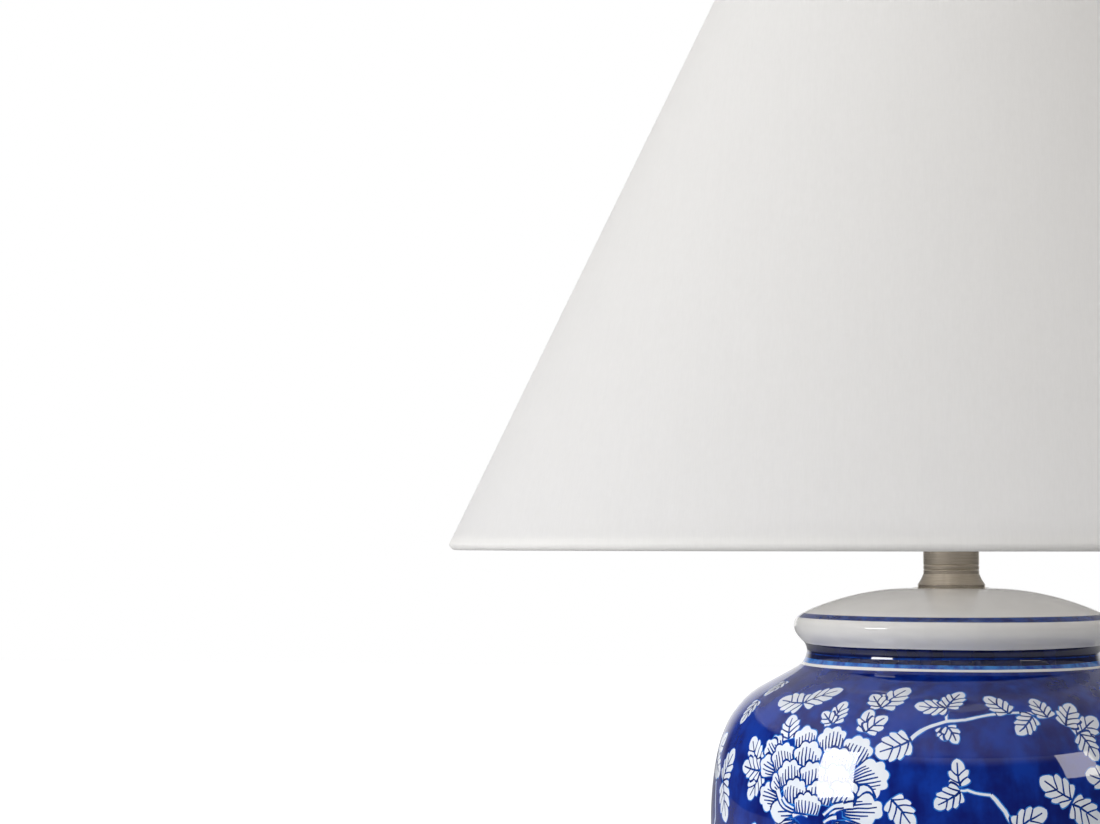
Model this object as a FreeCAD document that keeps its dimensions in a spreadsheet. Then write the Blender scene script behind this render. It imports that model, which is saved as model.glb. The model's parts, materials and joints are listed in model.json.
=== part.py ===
import FreeCAD, Part

# Ginger jar table lamp, in millimetres.
# The lamp stands on z = 0 and its axis is the z axis. The front is -y and the back is +y.
# From the table up: felt pad, glazed jar, neck tube, harp saddle, socket with its bulb, harp, and a cone shade
# that hangs from the top of the harp under a finial. A hollow threaded rod clamps the jar and the neck together.

import math
import os
import types

import Sketcher
from FreeCAD import Placement, Rotation, Vector

# The jar's outer outline from the foot up. Each station has its radius, its rise above the station below it,
# and how many degrees the outline turns on the way there: to the left, so outwards bulging, where positive.
JAR_STATIONS = {
    "foot": (72, 7, 0),
    "flare": (83.8, 44, -29.2),
    "belly": (109.6, 97.5, 29.6),
    "high_belly": (106.7, 29.5, 11.2),
    "shoulder": (101.7, 14.8, 15),
    "crest": (86, 16.5, 34.8),
    "root": (70.5, 8.5, 0.6),
    "throat": (65.5, 8.2, -60.4),
    "undercut": (67.4, 4.3, -47.7),
    "lip_under": (70.1, 3.1, 13.3),
    "lip": (71.4, 3.9, 32),
    "lip_top": (69.8, 3.6, 53),
    "collar": (63.7, 3.7, 16.8),
    "seat": (18, 9.6, 21.8),
}

SIZES = {
    # clearances
    "thread_gap": 0.05,
    "turning_gap": 0.1,
    "loose_gap": 0.3,
    # felt pad and the jar's foot, floor and wall
    "felt_thickness": 1.5,
    "felt_inset": 3,
    "foot_edge": 1.5,
    "foot_wall": 6.5,
    "recess_depth": 17.5,
    "floor_thickness": 6,
    "jar_wall": 5,
    "jar_hole_radius": 6.4,
    # cord inlet in the back of the foot
    "inlet_height": 11,
    "inlet_spot_depth": 0.5,
    "grommet_bore": 3.2,
    "grommet_wall": 2.1,
    "grommet_rim": 2.1,
    "grommet_rim_thickness": 1.5,
    # threaded rod and what is screwed on its foot
    "rod_radius": 5,
    "rod_bore": 3.25,
    "rod_below_nut": 3,
    "rod_in_cap": 6,
    "gasket_radius": 18,
    "gasket_thickness": 1.5,
    "washer_radius": 19,
    "washer_thickness": 2,
    "nut_radius": 9.2,
    "nut_thickness": 5,
    # neck tube
    "bushing_thickness": 1.4,
    "bushing_spigot": 4,
    "band_radius": 15.2,
    "band_height": 1.6,
    "flare_height": 4.9,
    "tube_radius": 12.6,
    "tube_wall": 0.9,
    "neck_length": 62.3,
    "groove_height": 8.4,
    "groove_pitch": 2,
    "groove_width": 0.9,
    "groove_depth": 0.3,
    "check_ring_radius": 13.4,
    "check_ring_thickness": 2,
    "check_ring_spigot": 4,
    # harp and its saddle
    "saddle_thickness": 1.3,
    "saddle_boss": 9.5,
    "saddle_width": 10,
    "wing_start": 14,
    "wing_rise": 6.3,
    "shoulder_lift": 8,
    "prong_width": 3,
    "prong_height": 10,
    "leg_spread": 27,
    "leg_flat": 0.2,
    "leg_length": 38,
    "harp_wire": 2,
    "harp_height": 254,
    "harp_half_width": 57,
    "hip_radius": 120,
    "side_radius": 80,
    "crown_radius": 35,
    "crown_flat": 9,
    "ferrule_wall": 0.9,
    "ferrule_length": 12,
    "ferrule_edge": 0.3,
    # stud on top of the harp
    "stud_body_radius": 6.5,
    "stud_body_height": 8.6,
    "stud_wire_depth": 6,
    "stud_flange_radius": 9,
    "stud_flange_thickness": 1.6,
    "stud_radius": 3.175,
    "stud_length": 13,
    # lamp socket
    "hub_radius": 7.2,
    "hub_height": 7.5,
    "set_screw_radius": 2,
    "set_screw_length": 5,
    "dome_height": 10,
    "skirt_height": 7.5,
    "cap_wall": 0.8,
    "shell_radius": 16.4,
    "shell_wall": 0.6,
    "shell_length": 46,
    "bead_height": 12,
    "bead_width": 2,
    "bead_depth": 0.5,
    "sleeve_wall": 0.6,
    "sleeve_length": 44,
    "carrier_height": 19.5,
    "terminal_radius": 3,
    "terminal_depth": 2.6,
    "terminal_height": 7,
    "screw_shell_bore": 13.3,
    "screw_shell_wall": 0.4,
    "screw_shell_length": 23,
    "screw_shell_ledge": 9,
    "contact_radius": 4,
    "contact_crown": 1.2,
    "contact_height": 2.6,
    # switch
    "switch_height": 10,
    "stem_radius": 2,
    "stem_depth": 9,
    "stem_hole": 3,
    "knob_radius": 6,
    "knob_length": 14,
    "knob_taper": 0.8,
    "knob_bore_depth": 8,
    "knob_stand_off": 3,
    "flute_radius": 1,
    "flute_count": 10,
    # bulb
    "bulb_tip_radius": 4.8,
    "bulb_tip_height": 1.5,
    "bulb_cone_height": 4,
    "bulb_base_radius": 13,
    "bulb_base_wall": 0.5,
    "bulb_base_height": 20,
    "bulb_neck_radius": 14.2,
    "bulb_neck_height": 8,
    "bulb_waist_radius": 20,
    "bulb_waist_rise": 16,
    "bulb_radius": 30,
    "bulb_rise": 27.5,
    "bulb_turn": 40,
    "bulb_wall": 1,
    # shade
    "shade_radius": 228.6,
    "shade_top_radius": 76.2,
    "shade_height": 319,
    "ring_wire": 1.6,
    "fabric_thickness": 0.9,
    "hem_turn": 60,
    "liner_thickness": 0.5,
    "liner_stop": 3,
    "spider_drop": 18,
    "spider_hub_radius": 10,
    "spider_hub_bore": 5.35,
    "spider_hub_thickness": 1.6,
    "spider_wire": 1.4,
    "spider_bend": 8,
    "spider_bite": 0.8,
    "spider_count": 3,
    # finial
    "finial_base_radius": 8,
    "finial_base_height": 2,
    "finial_neck_radius": 4,
    "finial_neck_height": 8,
    "finial_ball_radius": 9.5,
    "finial_button_radius": 3.4,
    "finial_button_neck": 2.5,
    "finial_button_height": 5.6,
    "finial_hole_depth": 14,
}

for station, (radius, rise, turn) in JAR_STATIONS.items():
    SIZES[station + "_radius"] = radius
    SIZES[station + "_rise"] = rise
    SIZES[station + "_turn"] = turn

doc = FreeCAD.newDocument("GingerJarLamp")
sheet = doc.addObject("Spreadsheet::Sheet", "Sizes")
for row, (alias, number) in enumerate(SIZES.items(), start=1):
    sheet.set(f"A{row}", alias.replace("_", " "))
    sheet.set(f"B{row}", str(number))
    sheet.setAlias(f"B{row}", alias)
doc.recompute()


class Size:
    """A number together with the sheet formula that gives it."""

    def __init__(self, value, formula):
        self.value = float(value)
        self.formula = formula

    def __add__(self, other):
        other = size_of(other)
        return Size(self.value + other.value, f"({self.formula} + {other.formula})")

    def __sub__(self, other):
        other = size_of(other)
        return Size(self.value - other.value, f"({self.formula} - {other.formula})")

    def __rsub__(self, other):
        return size_of(other) - self

    def __mul__(self, other):
        other = size_of(other)
        return Size(self.value * other.value, f"({self.formula} * {other.formula})")

    def __truediv__(self, other):
        other = size_of(other)
        return Size(self.value / other.value, f"({self.formula} / {other.formula})")

    def __neg__(self):
        return Size(-self.value, f"(-{self.formula})")

    __radd__ = __add__
    __rmul__ = __mul__


def size_of(number):
    return number if isinstance(number, Size) else Size(number, repr(float(number)))


def root_of(size):
    return Size(math.sqrt(size.value), f"sqrt({size.formula})")


def sine(angle):
    return Size(math.sin(math.radians(angle.value)), f"sin({angle.formula})")


def cosine(angle):
    return Size(math.cos(math.radians(angle.value)), f"cos({angle.formula})")


s = types.SimpleNamespace(**{alias: Size(sheet.get(alias), "Sizes." + alias) for alias in SIZES})


def bind(thing, path, size):
    """Sets a property of an object through the sheet."""
    thing.setExpression(path, size_of(size).formula)


def place(thing, x=0, y=0, z=0, rotation=None):
    """Puts a sub-part in its place, which follows the sheet."""
    x, y, z = size_of(x), size_of(y), size_of(z)
    thing.Placement = Placement(Vector(x.value, y.value, z.value), rotation or Rotation())
    for axis, size in (("x", x), ("y", y), ("z", z)):
        bind(thing, "Placement.Base." + axis, size)
    return thing


def new_body(label):
    body = doc.addObject("PartDesign::Body", "Body_" + label)
    body.Label = label
    return body


def plane_of(body, role):
    return next(feature for feature in body.Origin.OriginFeatures if feature.Role == role)


def new_sketch(body, role="XZ_Plane"):
    """A sketch on one of the body's own planes. On XZ its x is the radius and its y is the height."""
    sketch = body.newObject("Sketcher::SketchObject", "Sketch_" + body.Label)
    sketch.AttachmentSupport = (plane_of(body, role), [""])
    sketch.MapMode = "FlatFace"
    return sketch


def pin_point(sketch, edge, end, x, y):
    """Ties a point of a sketch to its two sizes, or to the axis where a size is 0."""
    for kind, axis, size in (("DistanceX", -2, x), ("DistanceY", -1, y)):
        size = size_of(size)
        if size.value == 0:
            sketch.addConstraint(Sketcher.Constraint("PointOnObject", edge, end, axis))
        else:
            rule = sketch.addConstraint(Sketcher.Constraint(kind, -1, 1, edge, end, size.value))
            bind(sketch, f"Constraints[{rule}]", size)


class Outline:
    """A line drawn in a sketch from corner to corner, with each corner tied to its sizes."""

    def __init__(self, sketch, x, y):
        self.sketch = sketch
        self.first = (x, y)
        self.at = (x, y)
        self.edges = []

    def point(self, corner):
        return Vector(size_of(corner[0]).value, size_of(corner[1]).value, 0)

    def add(self, edge, begin, end, corner):
        """begin and end say which ends of the edge, 1 or 2, the outline enters and leaves by."""
        number = self.sketch.addGeometry(edge, False)
        if self.edges:
            last, last_end = self.edges[-1][0], self.edges[-1][2]
            join = Sketcher.Constraint("Coincident", last, last_end, number, begin)
            self.sketch.addConstraint(join)
        else:
            pin_point(self.sketch, number, begin, *self.first)
        self.edges.append((number, begin, end))
        if corner is self.first:
            home = Sketcher.Constraint("Coincident", number, end, self.edges[0][0], self.edges[0][1])
            self.sketch.addConstraint(home)
        else:
            pin_point(self.sketch, number, end, *corner)
        self.at = corner
        return number

    def line(self, *corner):
        corner = corner or self.first
        self.add(Part.LineSegment(self.point(self.at), self.point(corner)), 1, 2, corner)
        return self

    def arc(self, turn, *corner):
        """An arc that turns by so many degrees, to the left where positive."""
        corner = corner or self.first
        turn = size_of(turn)
        if turn.value == 0:
            return self.line(*corner)
        here, there = self.point(self.at), self.point(corner)
        chord = there - here
        left = Vector(-chord.y, chord.x, 0)
        centre = (here + there) * 0.5 + left * (0.5 / math.tan(math.radians(turn.value) / 2))
        radius = (here - centre).Length
        begin, end = (1, 2) if turn.value > 0 else (2, 1)
        tips = (here, there) if turn.value > 0 else (there, here)
        angles = [math.atan2(tip.y - centre.y, tip.x - centre.x) for tip in tips]
        if angles[1] < angles[0]:
            angles[1] += 2 * math.pi
        circle = Part.Circle(centre, Vector(0, 0, 1), radius)
        number = self.add(Part.ArcOfCircle(circle, *angles), begin, end, corner)
        span = Sketcher.Constraint("Angle", number, math.radians(abs(turn.value)))
        bind(self.sketch, f"Constraints[{self.sketch.addConstraint(span)}]",
             turn if turn.value > 0 else -turn)
        return self


def draw_circle(sketch, x, y, radius):
    radius = size_of(radius)
    centre = Vector(size_of(x).value, size_of(y).value, 0)
    number = sketch.addGeometry(Part.Circle(centre, Vector(0, 0, 1), radius.value), False)
    pin_point(sketch, number, 3, x, y)
    rule = sketch.addConstraint(Sketcher.Constraint("Radius", number, radius.value))
    bind(sketch, f"Constraints[{rule}]", radius)


def draw_box(sketch, low_x, low_y, high_x, high_y):
    box = Outline(sketch, low_x, low_y)
    box.line(high_x, low_y).line(high_x, high_y).line(low_x, high_y).line()


def revolve(body, sketch):
    """Turns a finished outline once round the sketch's upright axis."""
    turned = body.newObject("PartDesign::Revolution", "Turned_" + body.Label)
    turned.Profile = sketch
    turned.ReferenceAxis = (sketch, ["V_Axis"])
    turned.Angle = 360
    doc.recompute()
    return turned


def cut(body, sketch, reversed_side, length=None, both_sides=False):
    """Pockets a sketch out of a body, and makes sure that material went."""
    before = body.Shape.Volume
    pocket = body.newObject("PartDesign::Pocket", "Cut_" + body.Label)
    pocket.Profile = sketch
    pocket.Reversed = reversed_side
    pocket.Midplane = both_sides
    if length is None:
        pocket.Type = "ThroughAll"
    else:
        bind(pocket, "Length", length)
    doc.recompute()
    if not body.Shape.Volume < before:
        raise RuntimeError(f"a cut in {body.Label} takes nothing away")
    return pocket


def pad(body, sketch, length, both_sides=False):
    raised = body.newObject("PartDesign::Pad", "Pad_" + body.Label)
    raised.Profile = sketch
    raised.Midplane = both_sides
    bind(raised, "Length", length)
    doc.recompute()
    return raised


def front_hole(body, height, radius):
    """A round hole through the front wall only."""
    sketch = new_sketch(body)
    draw_circle(sketch, 0, height, radius)
    return cut(body, sketch, reversed_side=True)


def cylinder(name, radius, length, x=0, y=0, z=0, rotation=None):
    shape = doc.addObject("Part::Cylinder", name)
    bind(shape, "Radius", radius)
    bind(shape, "Height", length)
    return place(shape, x, y, z, rotation)


def ring(label, radius, bore, length, z):
    """A plain washer or pipe about the lamp's axis."""
    rim = cylinder("Rim_" + label, radius, length, z=z)
    hole = cylinder("Bore_" + label, bore, length, z=z)
    washer = doc.addObject("Part::Cut", "Ring_" + label)
    washer.Base, washer.Tool = rim, hole
    washer.Label = label
    return washer


# Heights above the table at which the sub-parts seat on each other.
jar_base = s.felt_thickness
station_height = {}
height = jar_base
for station in JAR_STATIONS:
    height = height + getattr(s, station + "_rise")
    station_height[station] = height
jar_top = station_height["seat"]
floor_underside = jar_base + s.recess_depth
gasket_base = floor_underside - s.gasket_thickness
washer_base = gasket_base - s.washer_thickness
nut_base = washer_base - s.nut_thickness
rod_base = nut_base - s.rod_below_nut
neck_top = jar_top + s.neck_length
saddle_base = neck_top + s.check_ring_thickness
cap_base = saddle_base + s.saddle_thickness
harp_base = saddle_base + s.shoulder_lift
harp_seat = saddle_base + s.harp_height
shade_top = harp_seat + s.spider_drop
shade_base = shade_top - s.shade_height
finial_base = harp_seat + s.spider_hub_thickness

# Radii that fits share.
rod_hole = s.rod_radius + s.thread_gap
inlet_hole = s.grommet_bore + s.grommet_wall + s.turning_gap


def felt_pad():
    felt = cylinder("Felt", s.foot_radius - s.felt_inset, s.felt_thickness)
    felt.Label = "felt_pad"
    return felt


def jar():
    """One glazed shell: foot ring, floor, belly, shoulder, neck, rolled collar and domed top."""
    body = new_body("jar")
    sketch = new_sketch(body)
    foot_inside = s.foot_radius - s.foot_wall
    floor_top = floor_underside + s.floor_thickness
    outline = Outline(sketch, foot_inside, jar_base)
    outline.line(s.foot_radius - s.foot_edge, jar_base)
    outline.arc(90, s.foot_radius, jar_base + s.foot_edge)
    for station in JAR_STATIONS:
        radius, turn = getattr(s, station + "_radius"), getattr(s, station + "_turn")
        outline.arc(turn, radius, station_height[station])
    # Down the inside, a wall's thickness from the outer outline. At the crest and the root the
    # outline leans by about 30 degrees, so there the wall is taken half sideways and mostly down.
    lean_in, lean_down = s.jar_wall * 0.5, s.jar_wall * 0.87
    outline.line(s.jar_hole_radius, jar_top)
    outline.line(s.jar_hole_radius, jar_top - s.jar_wall)
    outline.line(s.seat_radius, jar_top - s.jar_wall)
    outline.arc(-s.seat_turn, s.collar_radius - s.jar_wall, station_height["collar"] - s.jar_wall)
    outline.line(s.throat_radius - s.jar_wall, station_height["throat"])
    outline.arc(-s.throat_turn, s.root_radius - lean_in, station_height["root"] - lean_down)
    outline.line(s.crest_radius - lean_in, station_height["crest"] - lean_down)
    outline.arc(-(s.crest_turn + s.shoulder_turn + s.high_belly_turn),
                s.belly_radius - s.jar_wall, station_height["belly"])
    outline.arc(-s.belly_turn, s.flare_radius - s.jar_wall, station_height["flare"])
    outline.line(s.foot_radius - s.jar_wall, floor_top + s.jar_wall)
    outline.arc(-60, s.foot_radius - s.jar_wall * 2, floor_top)
    outline.line(s.jar_hole_radius, floor_top)
    outline.line(s.jar_hole_radius, floor_underside)
    outline.line(foot_inside, floor_underside)
    outline.line()
    revolve(body, sketch)
    # The cord's hole goes through the back of the foot, with a flat spot for the grommet's rim.
    hole = new_sketch(body)
    draw_circle(hole, 0, s.inlet_height, inlet_hole)
    cut(body, hole, reversed_side=False)
    spot = new_sketch(body)
    spot.AttachmentOffset = Placement(Vector(0, 0, -s.foot_radius.value), Rotation())
    bind(spot, "AttachmentOffset.Base.z", s.inlet_spot_depth - s.foot_radius)
    draw_circle(spot, 0, s.inlet_height, inlet_hole + s.grommet_rim + s.loose_gap)
    cut(body, spot, reversed_side=False, length=s.foot_radius)
    return body


def cord_grommet():
    """Turned on its own z axis, which points out of the lamp's back."""
    body = new_body("cord_grommet")
    sketch = new_sketch(body)
    wall_depth = s.foot_wall - s.inlet_spot_depth
    barrel = s.grommet_bore + s.grommet_wall
    rim_top = wall_depth + s.grommet_rim_thickness
    outline = Outline(sketch, s.grommet_bore, 0)
    outline.line(barrel, 0).line(barrel, wall_depth)
    outline.line(barrel + s.grommet_rim, wall_depth)
    outline.arc(90, barrel, rim_top)
    outline.line(s.grommet_bore, rim_top).line()
    revolve(body, sketch)
    backwards = Rotation(Vector(1, 0, 0), -90)
    return place(body, y=s.foot_radius - s.foot_wall, z=s.inlet_height, rotation=backwards)


def bottom_nut():
    block = doc.addObject("Part::Prism", "Hexagon")
    block.Polygon = 6
    bind(block, "Circumradius", s.nut_radius)
    bind(block, "Height", s.nut_thickness)
    place(block, z=nut_base)
    nut = doc.addObject("Part::Cut", "Nut")
    nut.Base = block
    nut.Tool = cylinder("Nut_bore", rod_hole, s.nut_thickness, z=nut_base)
    nut.Label = "bottom_nut"
    return nut


def neck_bushing():
    """Centres the rod in the jar's top hole and the neck tube on the rod."""
    body = new_body("neck_bushing")
    sketch = new_sketch(body)
    disc = s.band_radius - s.tube_wall - s.turning_gap
    spigot = s.jar_hole_radius - s.turning_gap
    top = s.bushing_spigot + s.bushing_thickness
    outline = Outline(sketch, rod_hole, 0)
    outline.line(spigot, 0).line(spigot, s.bushing_spigot).line(disc, s.bushing_spigot)
    outline.line(disc, top).line(rod_hole, top).line()
    revolve(body, sketch)
    return place(body, z=jar_top - s.bushing_spigot)


def neck_tube():
    """Spun tube that flares to a narrow upright band at its foot, with two fine turned grooves."""
    body = new_body("neck_tube")
    sketch = new_sketch(body)
    flare_top = s.band_height + s.flare_height
    outline = Outline(sketch, s.band_radius - s.tube_wall, 0)
    outline.line(s.band_radius, 0).line(s.band_radius, s.band_height)
    outline.arc(-16, s.tube_radius, flare_top)
    for number in range(2):
        middle = s.groove_height + s.groove_pitch * number
        outline.line(s.tube_radius, middle - s.groove_width * 0.5)
        outline.line(s.tube_radius - s.groove_depth, middle)
        outline.line(s.tube_radius, middle + s.groove_width * 0.5)
    outline.line(s.tube_radius, s.neck_length)
    outline.line(s.tube_radius - s.tube_wall, s.neck_length)
    outline.line(s.tube_radius - s.tube_wall, flare_top)
    outline.line(s.band_radius - s.tube_wall, s.band_height).line()
    revolve(body, sketch)
    return place(body, z=jar_top)


def check_ring():
    """Stepped ring that closes the top of the neck tube and carries the saddle."""
    body = new_body("check_ring")
    sketch = new_sketch(body)
    spigot = s.tube_radius - s.tube_wall - s.turning_gap
    top = s.check_ring_spigot + s.check_ring_thickness
    outline = Outline(sketch, rod_hole, 0)
    outline.line(spigot, 0).line(spigot, s.check_ring_spigot)
    outline.line(s.check_ring_radius, s.check_ring_spigot)
    outline.arc(70, s.check_ring_radius - s.check_ring_thickness * 0.5, top)
    outline.line(rod_hole, top).line()
    revolve(body, sketch)
    return place(body, z=neck_top - s.check_ring_spigot)


def harp_saddle():
    """Bent strip under the socket, whose two upright prongs take the feet of the harp."""
    body = new_body("harp_saddle")
    inner = s.leg_spread + s.leg_flat
    outer = inner + s.saddle_thickness
    strip = new_sketch(body)
    outline = Outline(strip, 0, 0)
    outline.line(s.wing_start, 0).line(outer, s.wing_rise).line(outer, s.shoulder_lift)
    outline.line(inner, s.shoulder_lift).line(inner, s.wing_rise + s.saddle_thickness)
    outline.line(s.wing_start, s.saddle_thickness).line(0, s.saddle_thickness).line()
    wing = pad(body, strip, s.saddle_width, both_sides=True)
    tongue = new_sketch(body)
    draw_box(tongue, inner, s.wing_rise + s.saddle_thickness, outer, s.shoulder_lift + s.prong_height)
    prong = pad(body, tongue, s.prong_width, both_sides=True)
    other_side = body.newObject("PartDesign::Mirrored", "Other_wing")
    other_side.Originals = [wing, prong]
    other_side.MirrorPlane = (plane_of(body, "YZ_Plane"), [""])
    body.Tip = other_side
    doc.recompute()
    boss = new_sketch(body, "XY_Plane")
    draw_circle(boss, 0, 0, s.saddle_boss)
    pad(body, boss, s.saddle_thickness)
    hole = new_sketch(body, "XY_Plane")
    draw_circle(hole, 0, 0, rod_hole)
    cut(body, hole, reversed_side=True)
    return place(body, z=saddle_base)


def harp_path(sketch):
    """Half of the harp: up the leg, out over the hip, round the side and in over the crown.

    The leg and the crown's flat are straight and the four stretches between them are tangent arcs. Where each arc
    ends follows from the harp's width and height.
    """
    top = harp_seat - s.stud_wire_depth - harp_base
    reach = s.side_radius - s.crown_radius
    crown_cos = (s.side_radius - s.harp_half_width + s.crown_flat) / reach
    crown_sin = root_of(1 - crown_cos * crown_cos)
    widest = top - s.side_radius * crown_sin - s.crown_radius * (1 - crown_sin)
    lean = s.harp_half_width - s.leg_spread
    climb = widest - s.leg_length
    bend = (lean * lean + climb * climb) / (2 * lean)
    hip_sin = climb / bend
    hip_cos = 1 - lean / bend
    hip_turn = math.degrees(math.asin(hip_sin.value))
    crown_turn = math.degrees(math.asin(crown_sin.value))
    outline = Outline(sketch, s.leg_spread, 0)
    outline.line(s.leg_spread, s.leg_length)
    steps = (
        (-hip_turn, s.leg_spread + s.hip_radius * (1 - hip_cos), s.leg_length + s.hip_radius * hip_sin),
        (hip_turn, s.harp_half_width, widest),
        (crown_turn, s.crown_flat + s.crown_radius * crown_cos, top - s.crown_radius * (1 - crown_sin)),
        (90 - crown_turn, s.crown_flat, top),
    )
    for turn, x, z in steps:
        tangent_arc(outline, turn, x, z)
    outline.line(0, top)


def tangent_arc(outline, turn, x, z):
    """An arc that leaves the stretch before it without a corner, drawn from an arc of the given turn."""
    before = outline.edges[-1]
    guide = Outline(outline.sketch, *outline.at)
    here, there = guide.point(outline.at), guide.point((x, z))
    chord = there - here
    left = Vector(-chord.y, chord.x, 0)
    centre = (here + there) * 0.5 + left * (0.5 / math.tan(math.radians(turn) / 2))
    tips = (here, there) if turn > 0 else (there, here)
    angles = [math.atan2(tip.y - centre.y, tip.x - centre.x) for tip in tips]
    if angles[1] < angles[0]:
        angles[1] += 2 * math.pi
    edge = Part.ArcOfCircle(Part.Circle(centre, Vector(0, 0, 1), (here - centre).Length), *angles)
    begin, end = (1, 2) if turn > 0 else (2, 1)
    number = outline.sketch.addGeometry(edge, False)
    smooth = Sketcher.Constraint("Tangent", before[0], before[2], number, begin)
    outline.sketch.addConstraint(smooth)
    outline.edges.append((number, begin, end))
    pin_point(outline.sketch, number, end, x, z)
    outline.at = (x, z)


def harp():
    """One bent wire. Its feet are flattened outside, where the saddle's prongs lie against them."""
    body = new_body("harp")
    path = new_sketch(body)
    harp_path(path)
    section = new_sketch(body, "XY_Plane")
    draw_circle(section, s.leg_spread, 0, s.harp_wire)
    half = body.newObject("PartDesign::AdditivePipe", "Half_harp")
    half.Profile = section
    half.Spine = (path, [f"Edge{number + 1}" for number in range(path.GeometryCount)])
    doc.recompute()
    flat = new_sketch(body, "XY_Plane")
    spare = s.harp_wire * 2
    draw_box(flat, s.leg_spread + s.leg_flat, -spare, s.leg_spread + spare, spare)
    foot = cut(body, flat, reversed_side=True, length=s.prong_height + s.loose_gap)
    whole = body.newObject("PartDesign::Mirrored", "Whole_harp")
    whole.Originals = [half, foot]
    whole.MirrorPlane = (plane_of(body, "YZ_Plane"), [""])
    body.Tip = whole
    doc.recompute()
    return place(body, z=harp_base)


def ferrule(side, label):
    """Sleeve that slides down over a prong and a foot of the harp and locks them together."""
    body = new_body(label)
    sketch = new_sketch(body)
    bore = s.harp_wire + s.loose_gap + s.turning_gap
    rim = bore + s.ferrule_wall
    outline = Outline(sketch, bore, 0)
    outline.line(rim - s.ferrule_edge, 0).arc(90, rim, s.ferrule_edge)
    outline.line(rim, s.ferrule_length - s.ferrule_edge)
    outline.arc(90, rim - s.ferrule_edge, s.ferrule_length)
    outline.line(bore, s.ferrule_length).line()
    revolve(body, sketch)
    return place(body, x=s.leg_spread * side, z=harp_base)


def harp_stud():
    """Turned piece on the harp's crown: cross-drilled body, seat flange and threaded stud."""
    body = new_body("harp_stud")
    sketch = new_sketch(body)
    seat = s.stud_body_height + s.stud_flange_thickness
    tip = seat + s.stud_length
    outline = Outline(sketch, 0, 0)
    outline.line(s.stud_body_radius, 0).line(s.stud_body_radius, s.stud_body_height)
    outline.line(s.stud_flange_radius, s.stud_body_height).line(s.stud_flange_radius, seat)
    outline.line(s.stud_radius, seat).line(s.stud_radius, tip - s.ferrule_edge * 2)
    outline.line(s.stud_radius - s.ferrule_edge * 2, tip).line(0, tip).line()
    revolve(body, sketch)
    hole = new_sketch(body, "YZ_Plane")
    draw_circle(hole, 0, seat - s.stud_wire_depth, s.harp_wire + s.thread_gap)
    cut(body, hole, reversed_side=False, both_sides=True)
    return place(body, z=harp_seat - seat)


# The socket's pieces share these heights above the cap's base, and these radii.
shell_lift = s.hub_height + s.dome_height
carrier_lift = shell_lift + s.shell_wall
sleeve_radius = s.shell_radius - s.shell_wall - s.turning_gap
carrier_radius = sleeve_radius - s.sleeve_wall - s.loose_gap
carrier_top = cap_base + carrier_lift + s.carrier_height
switch_axis = cap_base + carrier_lift + s.switch_height


def socket_cap():
    """Cup with a threaded hub, which screws down on the rod and clamps the saddle."""
    body = new_body("socket_cap")
    sketch = new_sketch(body)
    skirt = s.shell_radius + s.turning_gap
    rim = skirt + s.cap_wall
    top = shell_lift + s.skirt_height
    outline = Outline(sketch, rod_hole, 0)
    outline.line(s.hub_radius, 0).line(s.hub_radius, s.hub_height)
    outline.arc(60, rim, shell_lift).line(rim, top).line(skirt, top)
    outline.line(skirt, shell_lift)
    outline.arc(-60, s.hub_radius, s.hub_height + s.cap_wall * 2)
    outline.line(rod_hole, s.hub_height + s.cap_wall * 2).line()
    revolve(body, sketch)
    # The set screw's hole comes in from the back.
    hole = new_sketch(body)
    draw_circle(hole, 0, s.hub_height * 0.5, s.set_screw_radius + s.thread_gap)
    cut(body, hole, reversed_side=False)
    return place(body, z=cap_base)


def cap_set_screw():
    screw = cylinder("Set_screw", s.set_screw_radius, s.set_screw_length,
                     y=rod_hole, z=cap_base + s.hub_height * 0.5,
                     rotation=Rotation(Vector(1, 0, 0), -90))
    screw.Label = "cap_set_screw"
    return screw


def socket_shell():
    """Outer metal shell with a rolled bead, open at the top for the bulb."""
    body = new_body("socket_shell")
    sketch = new_sketch(body)
    inside = s.shell_radius - s.shell_wall
    bead_top = s.bead_height + s.bead_width
    outline = Outline(sketch, inside, 0)
    outline.line(s.shell_radius, 0).line(s.shell_radius, s.bead_height)
    outline.arc(90, s.shell_radius, bead_top)
    outline.line(s.shell_radius, s.shell_length - s.bead_depth * 2)
    outline.arc(120, s.shell_radius, s.shell_length)
    outline.line(inside, s.shell_length).line()
    revolve(body, sketch)
    front_hole(body, switch_axis - cap_base - shell_lift, s.stem_hole)
    return place(body, z=cap_base + shell_lift)


def socket_sleeve():
    """Paper insulator between the metal shell and the live parts."""
    body = new_body("socket_sleeve")
    sketch = new_sketch(body)
    draw_box(sketch, sleeve_radius - s.sleeve_wall, 0, sleeve_radius, s.sleeve_length)
    revolve(body, sketch)
    front_hole(body, s.switch_height, s.stem_hole)
    return place(body, z=cap_base + carrier_lift)


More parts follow.
